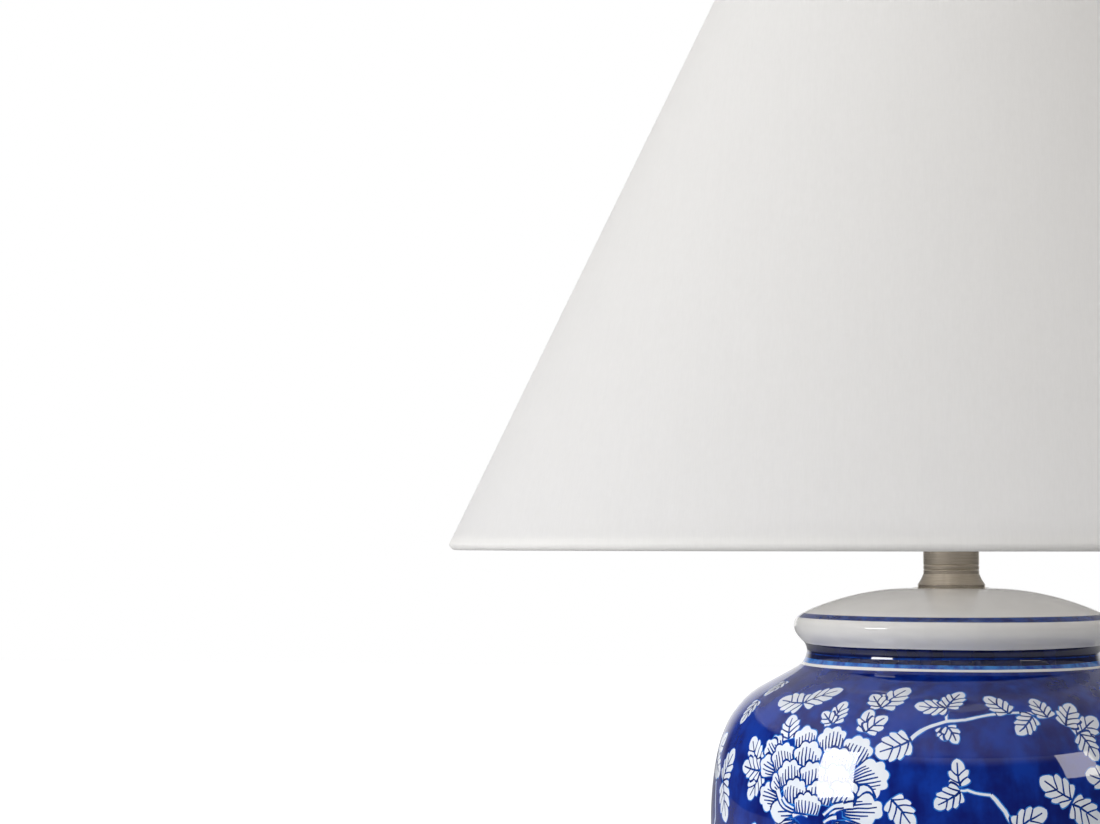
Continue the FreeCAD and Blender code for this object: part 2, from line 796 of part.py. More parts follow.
def socket_carrier():
    """Moulded block that holds the switch, the terminals and the screw shell."""
    body = new_body("socket_carrier")
    sketch = new_sketch(body)
    draw_box(sketch, 0, 0, carrier_radius, s.carrier_height)
    revolve(body, sketch)
    # Flats on both sides leave room for the terminal screws' heads.
    flats = new_sketch(body)
    flat_at = carrier_radius - s.terminal_depth
    low, high = s.terminal_height - s.terminal_radius, s.terminal_height + s.terminal_radius
    draw_box(flats, flat_at, low - s.loose_gap, carrier_radius + s.loose_gap, high + s.loose_gap)
    draw_box(flats, -flat_at, low - s.loose_gap, -(carrier_radius + s.loose_gap), high + s.loose_gap)
    cut(body, flats, reversed_side=False, length=s.terminal_radius * 4, both_sides=True)
    stem = new_sketch(body)
    stem.AttachmentOffset = Placement(Vector(0, 0, carrier_radius.value - s.stem_depth.value), Rotation())
    bind(stem, "AttachmentOffset.Base.z", carrier_radius - s.stem_depth)
    draw_circle(stem, 0, s.switch_height, s.stem_radius + s.turning_gap)
    cut(body, stem, reversed_side=True)
    return place(body, z=cap_base + carrier_lift)


def terminal_screws():
    """Two screw heads, one on each flat of the carrier."""
    heads = doc.addObject("Part::Compound", "Terminals")
    flat_at = carrier_radius - s.terminal_depth
    length = s.terminal_depth - s.loose_gap
    links = []
    for side in (-1, 1):
        head = cylinder(f"Terminal_{side + 1}", s.terminal_radius, length, x=flat_at * side,
                        z=cap_base + carrier_lift + s.terminal_height,
                        rotation=Rotation(Vector(0, 1, 0), 90 * side))
        links.append(head)
    heads.Links = links
    heads.Label = "terminal_screws"
    return heads


def screw_shell():
    """Threaded liner that the bulb screws into, standing on a ledge on the carrier."""
    body = new_body("screw_shell")
    sketch = new_sketch(body)
    rim = s.screw_shell_bore + s.screw_shell_wall
    outline = Outline(sketch, s.screw_shell_ledge, 0)
    outline.line(rim, 0).line(rim, s.screw_shell_length)
    outline.line(s.screw_shell_bore, s.screw_shell_length)
    outline.line(s.screw_shell_bore, s.screw_shell_wall)
    outline.line(s.screw_shell_ledge, s.screw_shell_wall).line()
    revolve(body, sketch)
    return place(body, z=carrier_top)


def centre_contact():
    body = new_body("centre_contact")
    sketch = new_sketch(body)
    outline = Outline(sketch, 0, 0)
    outline.line(s.contact_radius, 0).line(s.contact_radius, s.screw_shell_wall)
    outline.arc(40, s.contact_crown, s.contact_height).line(0, s.contact_height).line()
    revolve(body, sketch)
    return place(body, z=carrier_top)


forwards = Rotation(Vector(1, 0, 0), 90)
knob_back = s.shell_radius + s.bead_depth + s.knob_stand_off


def switch_stem():
    """Steel spindle of the rotary switch. It points out of the lamp's front."""
    inner_end = carrier_radius - s.stem_depth
    outer_end = knob_back + s.knob_bore_depth - s.loose_gap
    stem = cylinder("Stem", s.stem_radius, outer_end - inner_end, y=-inner_end,
                    z=switch_axis, rotation=forwards)
    stem.Label = "switch_stem"
    return stem


def switch_knob():
    """Fluted round knob on the spindle."""
    body = new_body("switch_knob")
    sketch = new_sketch(body)
    bore = s.stem_radius + s.thread_gap
    outline = Outline(sketch, 0, s.knob_bore_depth)
    outline.line(bore, s.knob_bore_depth).line(bore, 0).line(s.knob_radius, 0)
    outline.line(s.knob_radius - s.knob_taper, s.knob_length - s.knob_taper)
    outline.arc(60, s.knob_radius - s.knob_taper * 2.5, s.knob_length)
    outline.line(0, s.knob_length).line()
    revolve(body, sketch)
    flute = new_sketch(body, "XY_Plane")
    draw_circle(flute, s.knob_radius + s.flute_radius * 0.4, 0, s.flute_radius)
    groove = cut(body, flute, reversed_side=True)
    flutes = body.newObject("PartDesign::PolarPattern", "Flutes")
    flutes.Originals = [groove]
    flutes.Axis = (plane_of(body, "Z_Axis"), [""])
    flutes.Angle = 360
    bind(flutes, "Occurrences", s.flute_count)
    body.Tip = flutes
    doc.recompute()
    return place(body, y=-knob_back, z=switch_axis, rotation=forwards)


bulb_tip = carrier_top + s.contact_height + s.loose_gap
bulb_base_low = s.bulb_tip_height + s.bulb_cone_height
bulb_base_top = bulb_base_low + s.bulb_base_height


def bulb_contact():
    body = new_body("bulb_contact")
    sketch = new_sketch(body)
    outline = Outline(sketch, 0, 0)
    outline.line(s.contact_crown, 0)
    outline.arc(40, s.bulb_tip_radius, s.bulb_tip_height).line(0, s.bulb_tip_height).line()
    revolve(body, sketch)
    return place(body, z=bulb_tip)


def bulb_insulator():
    cone = doc.addObject("Part::Cone", "Bulb_cone")
    bind(cone, "Radius1", s.bulb_tip_radius + s.turning_gap)
    bind(cone, "Radius2", s.bulb_base_radius - s.bulb_base_wall)
    bind(cone, "Height", s.bulb_cone_height)
    cone.Label = "bulb_insulator"
    return place(cone, z=bulb_tip + s.bulb_tip_height)


def bulb_base():
    return ring("bulb_base", s.bulb_base_radius, s.bulb_base_radius - s.bulb_base_wall,
                s.bulb_base_height, bulb_tip + bulb_base_low)


def bulb_glass():
    """Hollow opal envelope, open at the neck, where the base is fixed."""
    body = new_body("bulb_glass")
    sketch = new_sketch(body)
    waist = s.bulb_neck_height + s.bulb_waist_rise
    middle = waist + s.bulb_rise
    top = middle + s.bulb_radius
    outline = Outline(sketch, s.bulb_neck_radius - s.bulb_wall, 0)
    outline.line(s.bulb_neck_radius, 0).line(s.bulb_neck_radius, s.bulb_neck_height)
    outline.arc(-s.bulb_turn, s.bulb_waist_radius, waist)
    outline.arc(s.bulb_turn, s.bulb_radius, middle)
    outline.arc(90, 0, top).line(0, top - s.bulb_wall)
    outline.arc(-90, s.bulb_radius - s.bulb_wall, middle)
    outline.arc(-s.bulb_turn, s.bulb_waist_radius - s.bulb_wall, waist)
    outline.arc(s.bulb_turn, s.bulb_neck_radius - s.bulb_wall, s.bulb_neck_height)
    outline.line()
    revolve(body, sketch)
    return place(body, z=bulb_tip + bulb_base_top)


# The shade, in its own frame with z = 0 at its lower edge.
hem_inside = s.ring_wire + s.loose_gap
hem_outside = hem_inside + s.fabric_thickness
low_ring = (s.shade_radius - hem_outside, hem_outside)
high_ring = (s.shade_top_radius - hem_outside, s.shade_height - hem_outside)
wall_run = low_ring[0] - high_ring[0]
wall_rise = high_ring[1] - low_ring[1]
wall_length = root_of(wall_run * wall_run + wall_rise * wall_rise)
wall_sin = wall_run / wall_length
wall_cos = wall_rise / wall_length


def beside(centre, outwards=0, downwards=0):
    """A point off a ring's centre, measured square to the shade's wall and down along it."""
    x = centre[0] + wall_cos * outwards + wall_sin * downwards
    return x, centre[1] + wall_sin * outwards - wall_cos * downwards


def shade_fabric():
    """Cloth cone whose two edges roll round the rings and end inside as hooks."""
    body = new_body("shade_fabric")
    sketch = new_sketch(body)
    turned_in, turned_on = sine(s.hem_turn), cosine(s.hem_turn)
    outline = Outline(sketch, *beside(low_ring, -hem_outside * turned_in, hem_outside * turned_on))
    outline.arc(s.hem_turn, *beside(low_ring, downwards=hem_outside))
    outline.arc(90, *beside(low_ring, outwards=hem_outside))
    outline.line(*beside(high_ring, outwards=hem_outside))
    outline.arc(90, *beside(high_ring, downwards=-hem_outside))
    outline.arc(s.hem_turn, *beside(high_ring, -hem_outside * turned_in, -hem_outside * turned_on))
    outline.line(*beside(high_ring, -hem_inside * turned_in, -hem_inside * turned_on))
    outline.arc(-s.hem_turn, *beside(high_ring, downwards=-hem_inside))
    outline.arc(-90, *beside(high_ring, outwards=hem_inside))
    outline.line(*beside(low_ring, outwards=hem_inside))
    outline.arc(-90, *beside(low_ring, downwards=hem_inside))
    outline.arc(-s.hem_turn, *beside(low_ring, -hem_inside * turned_in, hem_inside * turned_on))
    outline.line()
    revolve(body, sketch)
    return place(body, z=shade_base)


def shade_liner():
    """Stiff sheet behind the cloth, from just above one ring to just below the other."""
    body = new_body("shade_liner")
    sketch = new_sketch(body)
    face = hem_inside - s.thread_gap
    back = face - s.liner_thickness
    outline = Outline(sketch, *beside(low_ring, back, -s.liner_stop))
    outline.line(*beside(low_ring, face, -s.liner_stop))
    outline.line(*beside(high_ring, face, s.liner_stop))
    outline.line(*beside(high_ring, back, s.liner_stop)).line()
    revolve(body, sketch)
    return place(body, z=shade_base)


def shade_ring(label, centre):
    torus = doc.addObject("Part::Torus", "Torus_" + label)
    bind(torus, "Radius1", centre[0])
    bind(torus, "Radius2", s.ring_wire)
    torus.Label = label
    return place(torus, z=shade_base + centre[1])


def spider():
    """Washer and three wire arms that carry the shade's top ring. Their ends are notched round its wire."""
    body = new_body("spider_blank")
    sketch = new_sketch(body)
    draw_box(sketch, s.spider_hub_bore, 0, s.spider_hub_radius, s.spider_hub_thickness)
    revolve(body, sketch)
    ring_lift = s.spider_drop - hem_outside
    path = new_sketch(body)
    level = s.spider_wire
    outline = Outline(path, s.spider_hub_radius - s.spider_bite, level)
    outline.line(high_ring[0] - s.spider_bend, level)
    outline.arc(90, high_ring[0], level + s.spider_bend)
    outline.line(high_ring[0], ring_lift)
    section = new_sketch(body, "YZ_Plane")
    section.AttachmentOffset = Placement(Vector(0, 0, 1), Rotation())
    bind(section, "AttachmentOffset.Base.z", s.spider_hub_radius - s.spider_bite)
    draw_circle(section, 0, level, s.spider_wire)
    arm = body.newObject("PartDesign::AdditivePipe", "Spider_arm")
    arm.Profile = section
    arm.Spine = (path, [f"Edge{number + 1}" for number in range(path.GeometryCount)])
    doc.recompute()
    arms = body.newObject("PartDesign::PolarPattern", "Spider_arms")
    arms.Originals = [arm]
    arms.Axis = (plane_of(body, "Z_Axis"), [""])
    arms.Angle = 360
    bind(arms, "Occurrences", s.spider_count)
    body.Tip = arms
    doc.recompute()
    quarter_turn = Rotation(Vector(0, 0, 1), 90)
    place(body, z=harp_seat, rotation=quarter_turn)
    notch = doc.addObject("Part::Torus", "Spider_notch")
    bind(notch, "Radius1", high_ring[0])
    bind(notch, "Radius2", s.ring_wire + s.thread_gap)
    place(notch, z=harp_seat + ring_lift)
    notched = doc.addObject("Part::Cut", "Notched_spider")
    notched.Base, notched.Tool = body, notch
    notched.Label = "spider"
    return notched


def finial():
    """Turned ball finial with a blind threaded hole for the harp's stud."""
    body = new_body("finial")
    sketch = new_sketch(body)
    hole = s.stud_radius + s.thread_gap
    ball = s.finial_ball_radius
    neck_drop = root_of(ball * ball - s.finial_neck_radius * s.finial_neck_radius)
    middle = s.finial_neck_height + neck_drop
    button_rise = root_of(ball * ball - s.finial_button_neck * s.finial_button_neck)
    button_base = middle + button_rise
    top = button_base + s.finial_button_height
    lower_turn = math.degrees(math.acos(s.finial_neck_radius.value / ball.value))
    upper_turn = math.degrees(math.acos(s.finial_button_neck.value / ball.value))
    outline = Outline(sketch, hole, 0)
    outline.line(s.finial_base_radius, 0).line(s.finial_base_radius, s.finial_base_height)
    outline.arc(-60, s.finial_neck_radius, s.finial_neck_height)
    outline.arc(lower_turn, ball, middle)
    outline.arc(upper_turn, s.finial_button_neck, button_base)
    outline.arc(-50, s.finial_button_radius, top - s.finial_button_radius)
    outline.arc(90, 0, top)
    outline.line(0, s.finial_hole_depth).line(hole, s.finial_hole_depth).line()
    revolve(body, sketch)
    return place(body, z=finial_base)


sub_parts = [
    felt_pad(),
    jar(),
    cord_grommet(),
    ring("floor_gasket", s.gasket_radius, s.rod_radius + s.loose_gap, s.gasket_thickness, gasket_base),
    ring("floor_washer", s.washer_radius, rod_hole, s.washer_thickness, washer_base),
    bottom_nut(),
    ring("threaded_rod", s.rod_radius, s.rod_bore, cap_base + s.rod_in_cap - rod_base, rod_base),
    neck_bushing(),
    neck_tube(),
    check_ring(),
    harp_saddle(),
    harp(),
    harp_stud(),
    ferrule(-1, "ferrule_left"),
    ferrule(1, "ferrule_right"),
    socket_cap(),
    cap_set_screw(),
    socket_shell(),
    socket_sleeve(),
    socket_carrier(),
    terminal_screws(),
    screw_shell(),
    centre_contact(),
    switch_stem(),
    switch_knob(),
    bulb_contact(),
    bulb_insulator(),
    bulb_base(),
    bulb_glass(),
    shade_fabric(),
    shade_liner(),
    shade_ring("shade_low_ring", low_ring),
    shade_ring("shade_top_ring", high_ring),
    spider(),
    finial(),
]

doc.recompute()
failed = [thing.Label for thing in doc.Objects if {"Invalid", "Error"} & set(thing.State)]
if failed:
    raise RuntimeError("these did not build: " + ", ".join(failed))
for part in sub_parts:
    if part.Shape.isNull() or not part.Shape.isValid():
        raise RuntimeError(f"{part.Label} is not a valid solid")

os.makedirs("parts", exist_ok=True)
for part in sub_parts:
    part.Shape.exportStep(f"parts/{part.Label}.step")
    box = part.Shape.optimalBoundingBox(False)
    print(f"{part.Label:16} solids {len(part.Shape.Solids)} volume {part.Shape.Volume:11.1f}"
          f" z {box.ZMin:7.2f} to {box.ZMax:7.2f} reach {max(box.XMax, box.YMax):6.2f}")
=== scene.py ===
# %% [markdown]
# # A ginger jar lamp, dressed in Blender
# The lamp's solids come packed from CAD, in metres, standing on z = 0 with the front towards -Y.
# This lesson keeps every solid where it is, gives each one its finish, and replaces or covers the few
# whose looks need more than a solid: the painted glaze, the shade's cloth and the bulb's rolled thread.

import bisect
import json
from math import atan2, cos, degrees, hypot, pi, radians, sin

import bmesh
import bpy
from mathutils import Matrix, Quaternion, Vector, noise
from mathutils.bvhtree import BVHTree
from mathutils.geometry import delaunay_2d_cdt


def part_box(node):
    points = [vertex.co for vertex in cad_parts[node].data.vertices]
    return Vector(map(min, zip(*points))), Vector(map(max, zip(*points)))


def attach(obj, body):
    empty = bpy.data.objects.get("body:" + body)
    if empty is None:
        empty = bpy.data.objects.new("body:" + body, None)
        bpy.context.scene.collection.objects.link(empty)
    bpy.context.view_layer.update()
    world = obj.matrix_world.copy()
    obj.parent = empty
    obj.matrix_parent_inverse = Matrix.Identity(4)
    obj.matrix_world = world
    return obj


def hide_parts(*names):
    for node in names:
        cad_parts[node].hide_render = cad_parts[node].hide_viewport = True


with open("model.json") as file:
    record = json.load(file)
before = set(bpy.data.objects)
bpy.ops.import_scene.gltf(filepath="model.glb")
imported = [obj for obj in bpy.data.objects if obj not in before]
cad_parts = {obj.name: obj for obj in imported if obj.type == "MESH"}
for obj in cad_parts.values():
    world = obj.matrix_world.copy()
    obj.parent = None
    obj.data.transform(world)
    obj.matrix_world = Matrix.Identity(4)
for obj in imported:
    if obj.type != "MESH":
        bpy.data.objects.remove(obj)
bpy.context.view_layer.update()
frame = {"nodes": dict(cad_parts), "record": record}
MM = 0.001


# %% The one way into the scene
def in_scene(name, data):
    """A new object in the scene that shows a mesh, a light or a camera."""
    thing = bpy.data.objects.new(name, data)
    bpy.context.scene.collection.objects.link(thing)
    return thing


# %% [markdown]
# ## Camera
# The photograph is a crop of a larger product picture: the lamp's axis stands near the right edge, and
# the eye is level with the shade's lower edge. A long lens about a metre away, turned a little to the
# left and up, frames it in the same way and leaves the lens without any shift.

# %% Camera at the photograph's place
EYE = (0, -1.04442, 0.27572)
LOOK_LEFT, LOOK_UP = radians(10.0835), radians(3.3547)
SENSOR, LENS = 36, 73.66

camera = in_scene("camera", bpy.data.cameras.new("camera"))
camera.data.sensor_width = SENSOR
camera.data.lens = LENS
camera.location = EYE
camera.rotation_euler = (pi / 2 + LOOK_UP, 0, LOOK_LEFT)
bpy.context.scene.camera = camera
print("lens", LENS, "mm")

# %% [markdown]
# ## Node trees as plain Python
# Materials, the world and Geometry Nodes are graphs of nodes, long to write by hand. One small class
# wraps a node's output, so that ordinary operators add the Math nodes. Another adds any node to a tree
# from its type, its settings and the values of its sockets.


# %% A wrapper for sockets and one for trees
class Wave:
    """A value that varies from place to place: the output of a node, with arithmetic on it."""

    def __init__(self, tree, socket):
        self.tree = tree
        self.socket = socket

    def math(self, operation, *values):
        return self.tree.add("ShaderNodeMath", {"operation": operation}, values)

    def __add__(self, other):
        return self.math("ADD", self, other)

    def __sub__(self, other):
        return self.math("SUBTRACT", self, other)

    def __rsub__(self, other):
        return self.math("SUBTRACT", other, self)

    def __mul__(self, other):
        return self.math("MULTIPLY", self, other)

    def __truediv__(self, other):
        return self.math("DIVIDE", self, other)

    __radd__ = __add__
    __rmul__ = __mul__

    def between(self, low, high):
        """0 below low, 1 above high, and a smooth step from one to the other."""
        return self.tree.add("ShaderNodeMapRange", {"interpolation_type": "SMOOTHSTEP"}, [self, low, high])


class Tree:
    """A node tree that is being filled."""

    def __init__(self, nodes):
        self.nodes = nodes

    def feed(self, socket, value):
        if isinstance(value, Wave):
            self.nodes.links.new(value.socket, socket)
        elif socket.type == "RGBA":
            socket.default_value = (*value, 1)
        else:
            socket.default_value = value

    def add(self, kind, settings=None, values=(), output=0):
        """Adds a node, makes its settings, then fills its sockets. Gives one of its outputs."""
        node = self.nodes.nodes.new(kind)
        for name, value in (settings or {}).items():
            setattr(node, name, value)
        for socket, value in values.items() if isinstance(values, dict) else enumerate(values):
            self.feed(node.inputs[socket], value)
        return Wave(self, node.outputs[output])

    def part(self, point, axis):
        """One of the three numbers of a point."""
        return self.add("ShaderNodeSeparateXYZ", {}, [point], output=axis)


class Finish(Tree):
    """A material that is being mixed."""

    def __init__(self, name, color, roughness, **plain):
        self.material = bpy.data.materials.new(name)
        self.material.use_nodes = True
        self.material.diffuse_color = (*color, 1)
        super().__init__(self.material.node_tree)
        self.shader = self.nodes.nodes["Principled BSDF"]
        self.set("Base Color", color)
        self.set("Roughness", roughness)
        for socket, value in plain.items():
            self.set(socket.replace("_", " "), value)

    def set(self, socket, value):
        self.feed(self.shader.inputs[socket], value)

    def place(self):
        """The point on the object, in metres."""
        return self.add("ShaderNodeTexCoord", output="Object")

    def stretch(self, point, scale, turn=(0, 0, 0)):
        return self.add("ShaderNodeMapping", {}, {"Vector": point, "Rotation": turn, "Scale": scale})

    def cloud(self, point, size, detail=2.0, rough=0.5):
        """Cloudy values about 0.5, with features of about that size in metres."""
        return self.add("ShaderNodeTexNoise", {},
                        {"Vector": point, "Scale": 1 / size, "Detail": detail, "Roughness": rough})

    def blend(self, factor, first, second):
        """A colour between two colours."""
        return self.add("ShaderNodeMix", {"data_type": "RGBA", "clamp_factor": True},
                        {0: factor, 6: first, 7: second}, output=2)

    def grain(self, size, *more):
        """The same clouds, placed on the object."""
        return self.cloud(self.place(), size, *more)

    def dye(self, factor, first, second):
        """Makes the surface's colour a blend of two."""
        self.set("Base Color", self.blend(factor, first, second))

    def bump(self, height, depth, strength=1.0):
        """Leans the surface's normal as if it rose by depth metres where height is 1."""
        self.set("Normal", self.add("ShaderNodeBump", {},
                                    {"Strength": strength, "Distance": depth, "Height": height}))

    def let_light_through(self, share, color):
        """Lets that share of the light pass to the far side, softened, as thin cloth or plastic does."""
        glow = self.add("ShaderNodeBsdfTranslucent", {}, [color])
        surface = Wave(self, self.shader.outputs[0])
        mixed = self.add("ShaderNodeMixShader", {}, [share, surface, glow])
        self.feed(self.nodes.nodes["Material Output"].inputs["Surface"], mixed)


# %% [markdown]
# ## Studio
# The photograph shows the lamp on plain white. The light is soft: one tall softbox from the left in
# front, whose reflection shows as an upright patch on the glaze, a weaker and warmer one on the right, one
# overhead and a pale room. The room looks white to the camera in every direction, and also in reflections
# behind and above the lamp, while the room in front of it is dark, which gives glaze and metal their depth.

# %% World
ROOM_LIGHT = 0.57
DARK_SIDE = 0.07
# A reflection turns white between these, by how far back and how far up it looks.
WHITE_BEHIND, WHITE_ABOVE = (0.8, 0.96), (0.45, 0.62)

world = bpy.data.worlds.new("studio")
bpy.context.scene.world = world
world.use_nodes = True
room = Tree(world.node_tree)
to_camera = room.add("ShaderNodeLightPath", output="Is Camera Ray")
to_gloss = room.add("ShaderNodeLightPath", output="Is Glossy Ray")
through_glass = room.add("ShaderNodeLightPath", output="Is Transmission Ray")
way = room.add("ShaderNodeTexCoord", output="Generated")
behind = room.part(way, 1).between(*WHITE_BEHIND)
above = room.part(way, 2).between(*WHITE_ABOVE)
seen = behind.math("MAXIMUM", behind, above) * (1 - DARK_SIDE) + DARK_SIDE
mirrored = to_gloss.math("MAXIMUM", to_gloss, through_glass)
level = mirrored * seen + (1 - mirrored) * ROOM_LIGHT
sky = world.node_tree.nodes["Background"]
room.feed(sky.inputs["Strength"], to_camera + (1 - to_camera) * level)
room.feed(sky.inputs["Color"], (1, 1, 1))

# %% Softboxes
LAMP_CENTRE = Vector((0, 0, 0.25))


def softbox(name, turn, lift, distance, width, height, watts, color=(1, 1, 1), roll=0):
    """A light panel that faces the lamp. turn is from the front towards the right, in degrees."""
    light = bpy.data.lights.new(name, "AREA")
    light.shape = "RECTANGLE"
    light.size = width
    light.size_y = height
    light.energy = watts
    light.color = color
    box = in_scene(name, light)
    turn, lift = radians(turn), radians(lift)
    away = Vector((sin(turn) * cos(lift), -cos(turn) * cos(lift), sin(lift)))
    box.location = LAMP_CENTRE + away * distance
    rolled_by = Quaternion((0, 0, 1), radians(roll))
    box.rotation_euler = (away.to_track_quat("Z", "Y") @ rolled_by).to_euler()


softbox("key_softbox", -56.4, 17.3, 1.8, 0.57, 0.82, 24, roll=7)
softbox("fill_softbox", 62, 22, 2.2, 0.7, 0.7, 7.5, (1, 0.93, 0.84))
softbox("top_softbox", 10, 70, 2.0, 1.2, 1.2, 9)

# %% Floor
FLOOR_HALF, FLOOR_DROP = 4.0, 0.0003
FLOOR_GLOW = 0.78
floor_mesh = bpy.data.meshes.new("floor")
floor_mesh.from_pydata([(x * FLOOR_HALF, y * FLOOR_HALF, -FLOOR_DROP)
                        for x, y in ((-1, -1), (1, -1), (1, 1), (-1, 1))], [], [(0, 1, 2, 3)])
floor = in_scene("floor", floor_mesh)
floor_white = Finish("floor_white", (0.4, 0.4, 0.4), 0.7)
floor_white.set("Emission Color", (1, 1, 1))
floor_seen = floor_white.add("ShaderNodeLightPath", output="Is Camera Ray")
floor_white.set("Emission Strength", floor_seen * FLOOR_GLOW)
floor_mesh.materials.append(floor_white.material)

bpy.context.scene.view_settings.view_transform = "Standard"

# %% [markdown]
# ## Metals
# The neck, harp, saddle, socket and finial are steel plated with nickel, brushed round and round and
# lacquered. Brushing leaves fine rings, so the gloss is drawn out across them: that is anisotropy, a
# plain number. The rings themselves are a noise squeezed flat along the axis.

# %% Brushed nickel
nickel = Finish("brushed_nickel", (0.45, 0.40, 0.33), 0.24, Metallic=1.0, Anisotropic=0.85,
                Anisotropic_Rotation=0.25)
rings = nickel.cloud(nickel.stretch(nickel.place(), (0.02, 0.02, 1)), 0.00022, 3.0, 0.6)
tarnish = nickel.grain(0.012, 3.0)
nickel.dye(rings.between(0.3, 0.75), (0.42, 0.365, 0.29), (0.56, 0.50, 0.42))
nickel.set("Roughness", 0.19 + rings * 0.07 + tarnish * 0.05)
nickel.bump(rings, 0.00002, 0.5)

# %% Zinc-plated steel, brass, solder and rolled aluminium
zinc = Finish("zinc_plate", (0.62, 0.62, 0.60), 0.35, Metallic=1.0)
spangle = zinc.grain(0.003, 4.0, 0.6)
zinc.dye(spangle, (0.50, 0.50, 0.47), (0.70, 0.70, 0.69))
zinc.set("Roughness", 0.28 + spangle * 0.2)
zinc.bump(spangle, 0.00003, 0.4)

brass = Finish("brass", (0.75, 0.55, 0.25), 0.3, Metallic=1.0)
patina = brass.grain(0.004, 4.0)
brass.dye(patina.between(0.35, 0.7), (0.78, 0.57, 0.27), (0.55, 0.38, 0.17))
brass.set("Roughness", 0.22 + patina * 0.2)

solder = Finish("solder", (0.6, 0.6, 0.6), 0.4, Metallic=1.0)
puddle = solder.grain(0.002)
solder.set("Roughness", 0.3 + puddle * 0.25)
solder.bump(puddle, 0.0002, 0.6)

rolled = Finish("rolled_aluminium", (0.80, 0.80, 0.81), 0.28, Metallic=1.0)
scuffs = rolled.cloud(rolled.stretch(rolled.place(), (0.2, 0.2, 1)), 0.0006, 3.0)
rolled.dye(scuffs, (0.70, 0.70, 0.71), (0.86, 0.86, 0.87))
rolled.set("Roughness", 0.2 + scuffs * 0.2)

# %% [markdown]
# ## Plastics, rubber, paper, felt and glass
# None of these is one flat colour: moulded phenolic has a faint swirl, rubber a dusty bloom, fibre paper
# its flecks and felt its matted pile. Each gets a noise of the right size for colour and relief.

# %% Moulded and pressed parts
phenolic = Finish("black_phenolic", (0.018, 0.017, 0.016), 0.28, Coat_Weight=0.2, Coat_Roughness=0.1)
swirl = phenolic.grain(0.006, 4.0)
phenolic.dye(swirl, (0.012, 0.011, 0.011), (0.03, 0.028, 0.026))
phenolic.set("Roughness", 0.22 + swirl * 0.15)
phenolic.bump(phenolic.grain(0.0015), 0.00004, 0.4)

rubber = Finish("black_rubber", (0.03, 0.03, 0.03), 0.75)
bloom = rubber.grain(0.003, 5.0, 0.6)
rubber.dye(bloom.between(0.4, 0.8), (0.018, 0.018, 0.018), (0.055, 0.055, 0.055))
rubber.bump(bloom, 0.0001, 0.5)

fibre_paper = Finish("fibre_paper", (0.42, 0.33, 0.22), 0.85)
flecks = fibre_paper.cloud(fibre_paper.stretch(fibre_paper.place(), (1, 1, 0.3)), 0.0012, 4.0, 0.7)
fibre_paper.dye(flecks, (0.34, 0.26, 0.17), (0.52, 0.42, 0.30))
fibre_paper.bump(flecks, 0.00008, 0.5)

felt = Finish("green_felt", (0.035, 0.06, 0.045), 0.95, Sheen_Weight=0.4, Sheen_Roughness=0.5)
pile = felt.grain(0.0009, 5.0, 0.7)
felt.dye(pile, (0.018, 0.035, 0.026), (0.06, 0.095, 0.072))
felt.bump(pile, 0.0004, 0.8)

# %% Glass, wire coating and the shade's liner
black_glass = Finish("black_base_glass", (0.015, 0.015, 0.018), 0.12)
black_glass.set("Roughness", 0.08 + black_glass.grain(0.004) * 0.12)

opal = Finish("opal_glass", (0.90, 0.90, 0.88), 0.3, Coat_Weight=1.0, Coat_Roughness=0.05)
powder = opal.grain(0.01, 4.0)
opal.dye(powder, (0.86, 0.86, 0.84), (0.93, 0.93, 0.92))
opal.bump(opal.grain(0.0008, 3.0), 0.00002, 0.3)

epoxy = Finish("white_epoxy", (0.80, 0.80, 0.78), 0.35, Coat_Weight=0.3, Coat_Roughness=0.15)
drips = epoxy.grain(0.005, 4.0)
epoxy.dye(drips, (0.74, 0.74, 0.72), (0.85, 0.85, 0.83))
epoxy.set("Roughness", 0.28 + drips * 0.18)
epoxy.bump(drips, 0.00015, 0.4)

styrene = Finish("styrene_liner", (0.86, 0.85, 0.82), 0.42)
film = styrene.grain(0.03, 3.0)
styrene.dye(film, (0.83, 0.82, 0.785), (0.89, 0.88, 0.855))
styrene.set("Roughness", 0.36 + film * 0.12)
styrene.bump(styrene.grain(0.0012, 3.0), 0.00003, 0.3)
styrene.let_light_through(0.9, (0.965, 0.96, 0.955))

# %% [markdown]
# ## Crepe linen
# The shade's cloth is cut from a flat piece and wrapped, so its threads run straight up at the front and
# drift off the slope round the sides. The cloth's own UV map, in metres on the flat cut, carries that:
# fine ribs along it, slubs that are long and thin, and the crossing threads. The thin cloth and its liner
# let light through, so the inside of the shade and the top of the jar are lit by the softboxes outside.

# %% Linen
def crepe(name, thinness):
    """One side of the cloth. thinness is the share of the light that passes to the other side."""
    cloth = Finish(name, (0.86, 0.845, 0.81), 0.9, Sheen_Weight=0.1, Sheen_Roughness=0.6)
    cut = cloth.add("ShaderNodeUVMap", {"uv_map": "cut"})
    rib = cloth.cloud(cloth.stretch(cut, (1, 0.10, 1)), 0.00055, 3.0, 0.6)
    slub = cloth.cloud(cloth.stretch(cut, (1, 0.05, 1)), 0.0016)
    crossing = cloth.cloud(cloth.stretch(cut, (0.12, 1, 1)), 0.0007)
    weave = rib * 0.6 + slub * 0.25 + crossing * 0.15
    tint = cloth.blend(weave.between(0.36, 0.64), (0.86, 0.855, 0.845), (0.93, 0.925, 0.915))
    cloth.dye(cloth.cloud(cut, 0.05) * 0.25, tint, (0.90, 0.895, 0.88))
    cloth.bump(weave, 0.00025, 0.5)
    cloth.let_light_through(thinness, (0.965, 0.96, 0.955))
    return cloth


linen = crepe("crepe_linen", 0.58)
linen_back = crepe("crepe_linen_back", 0.95)

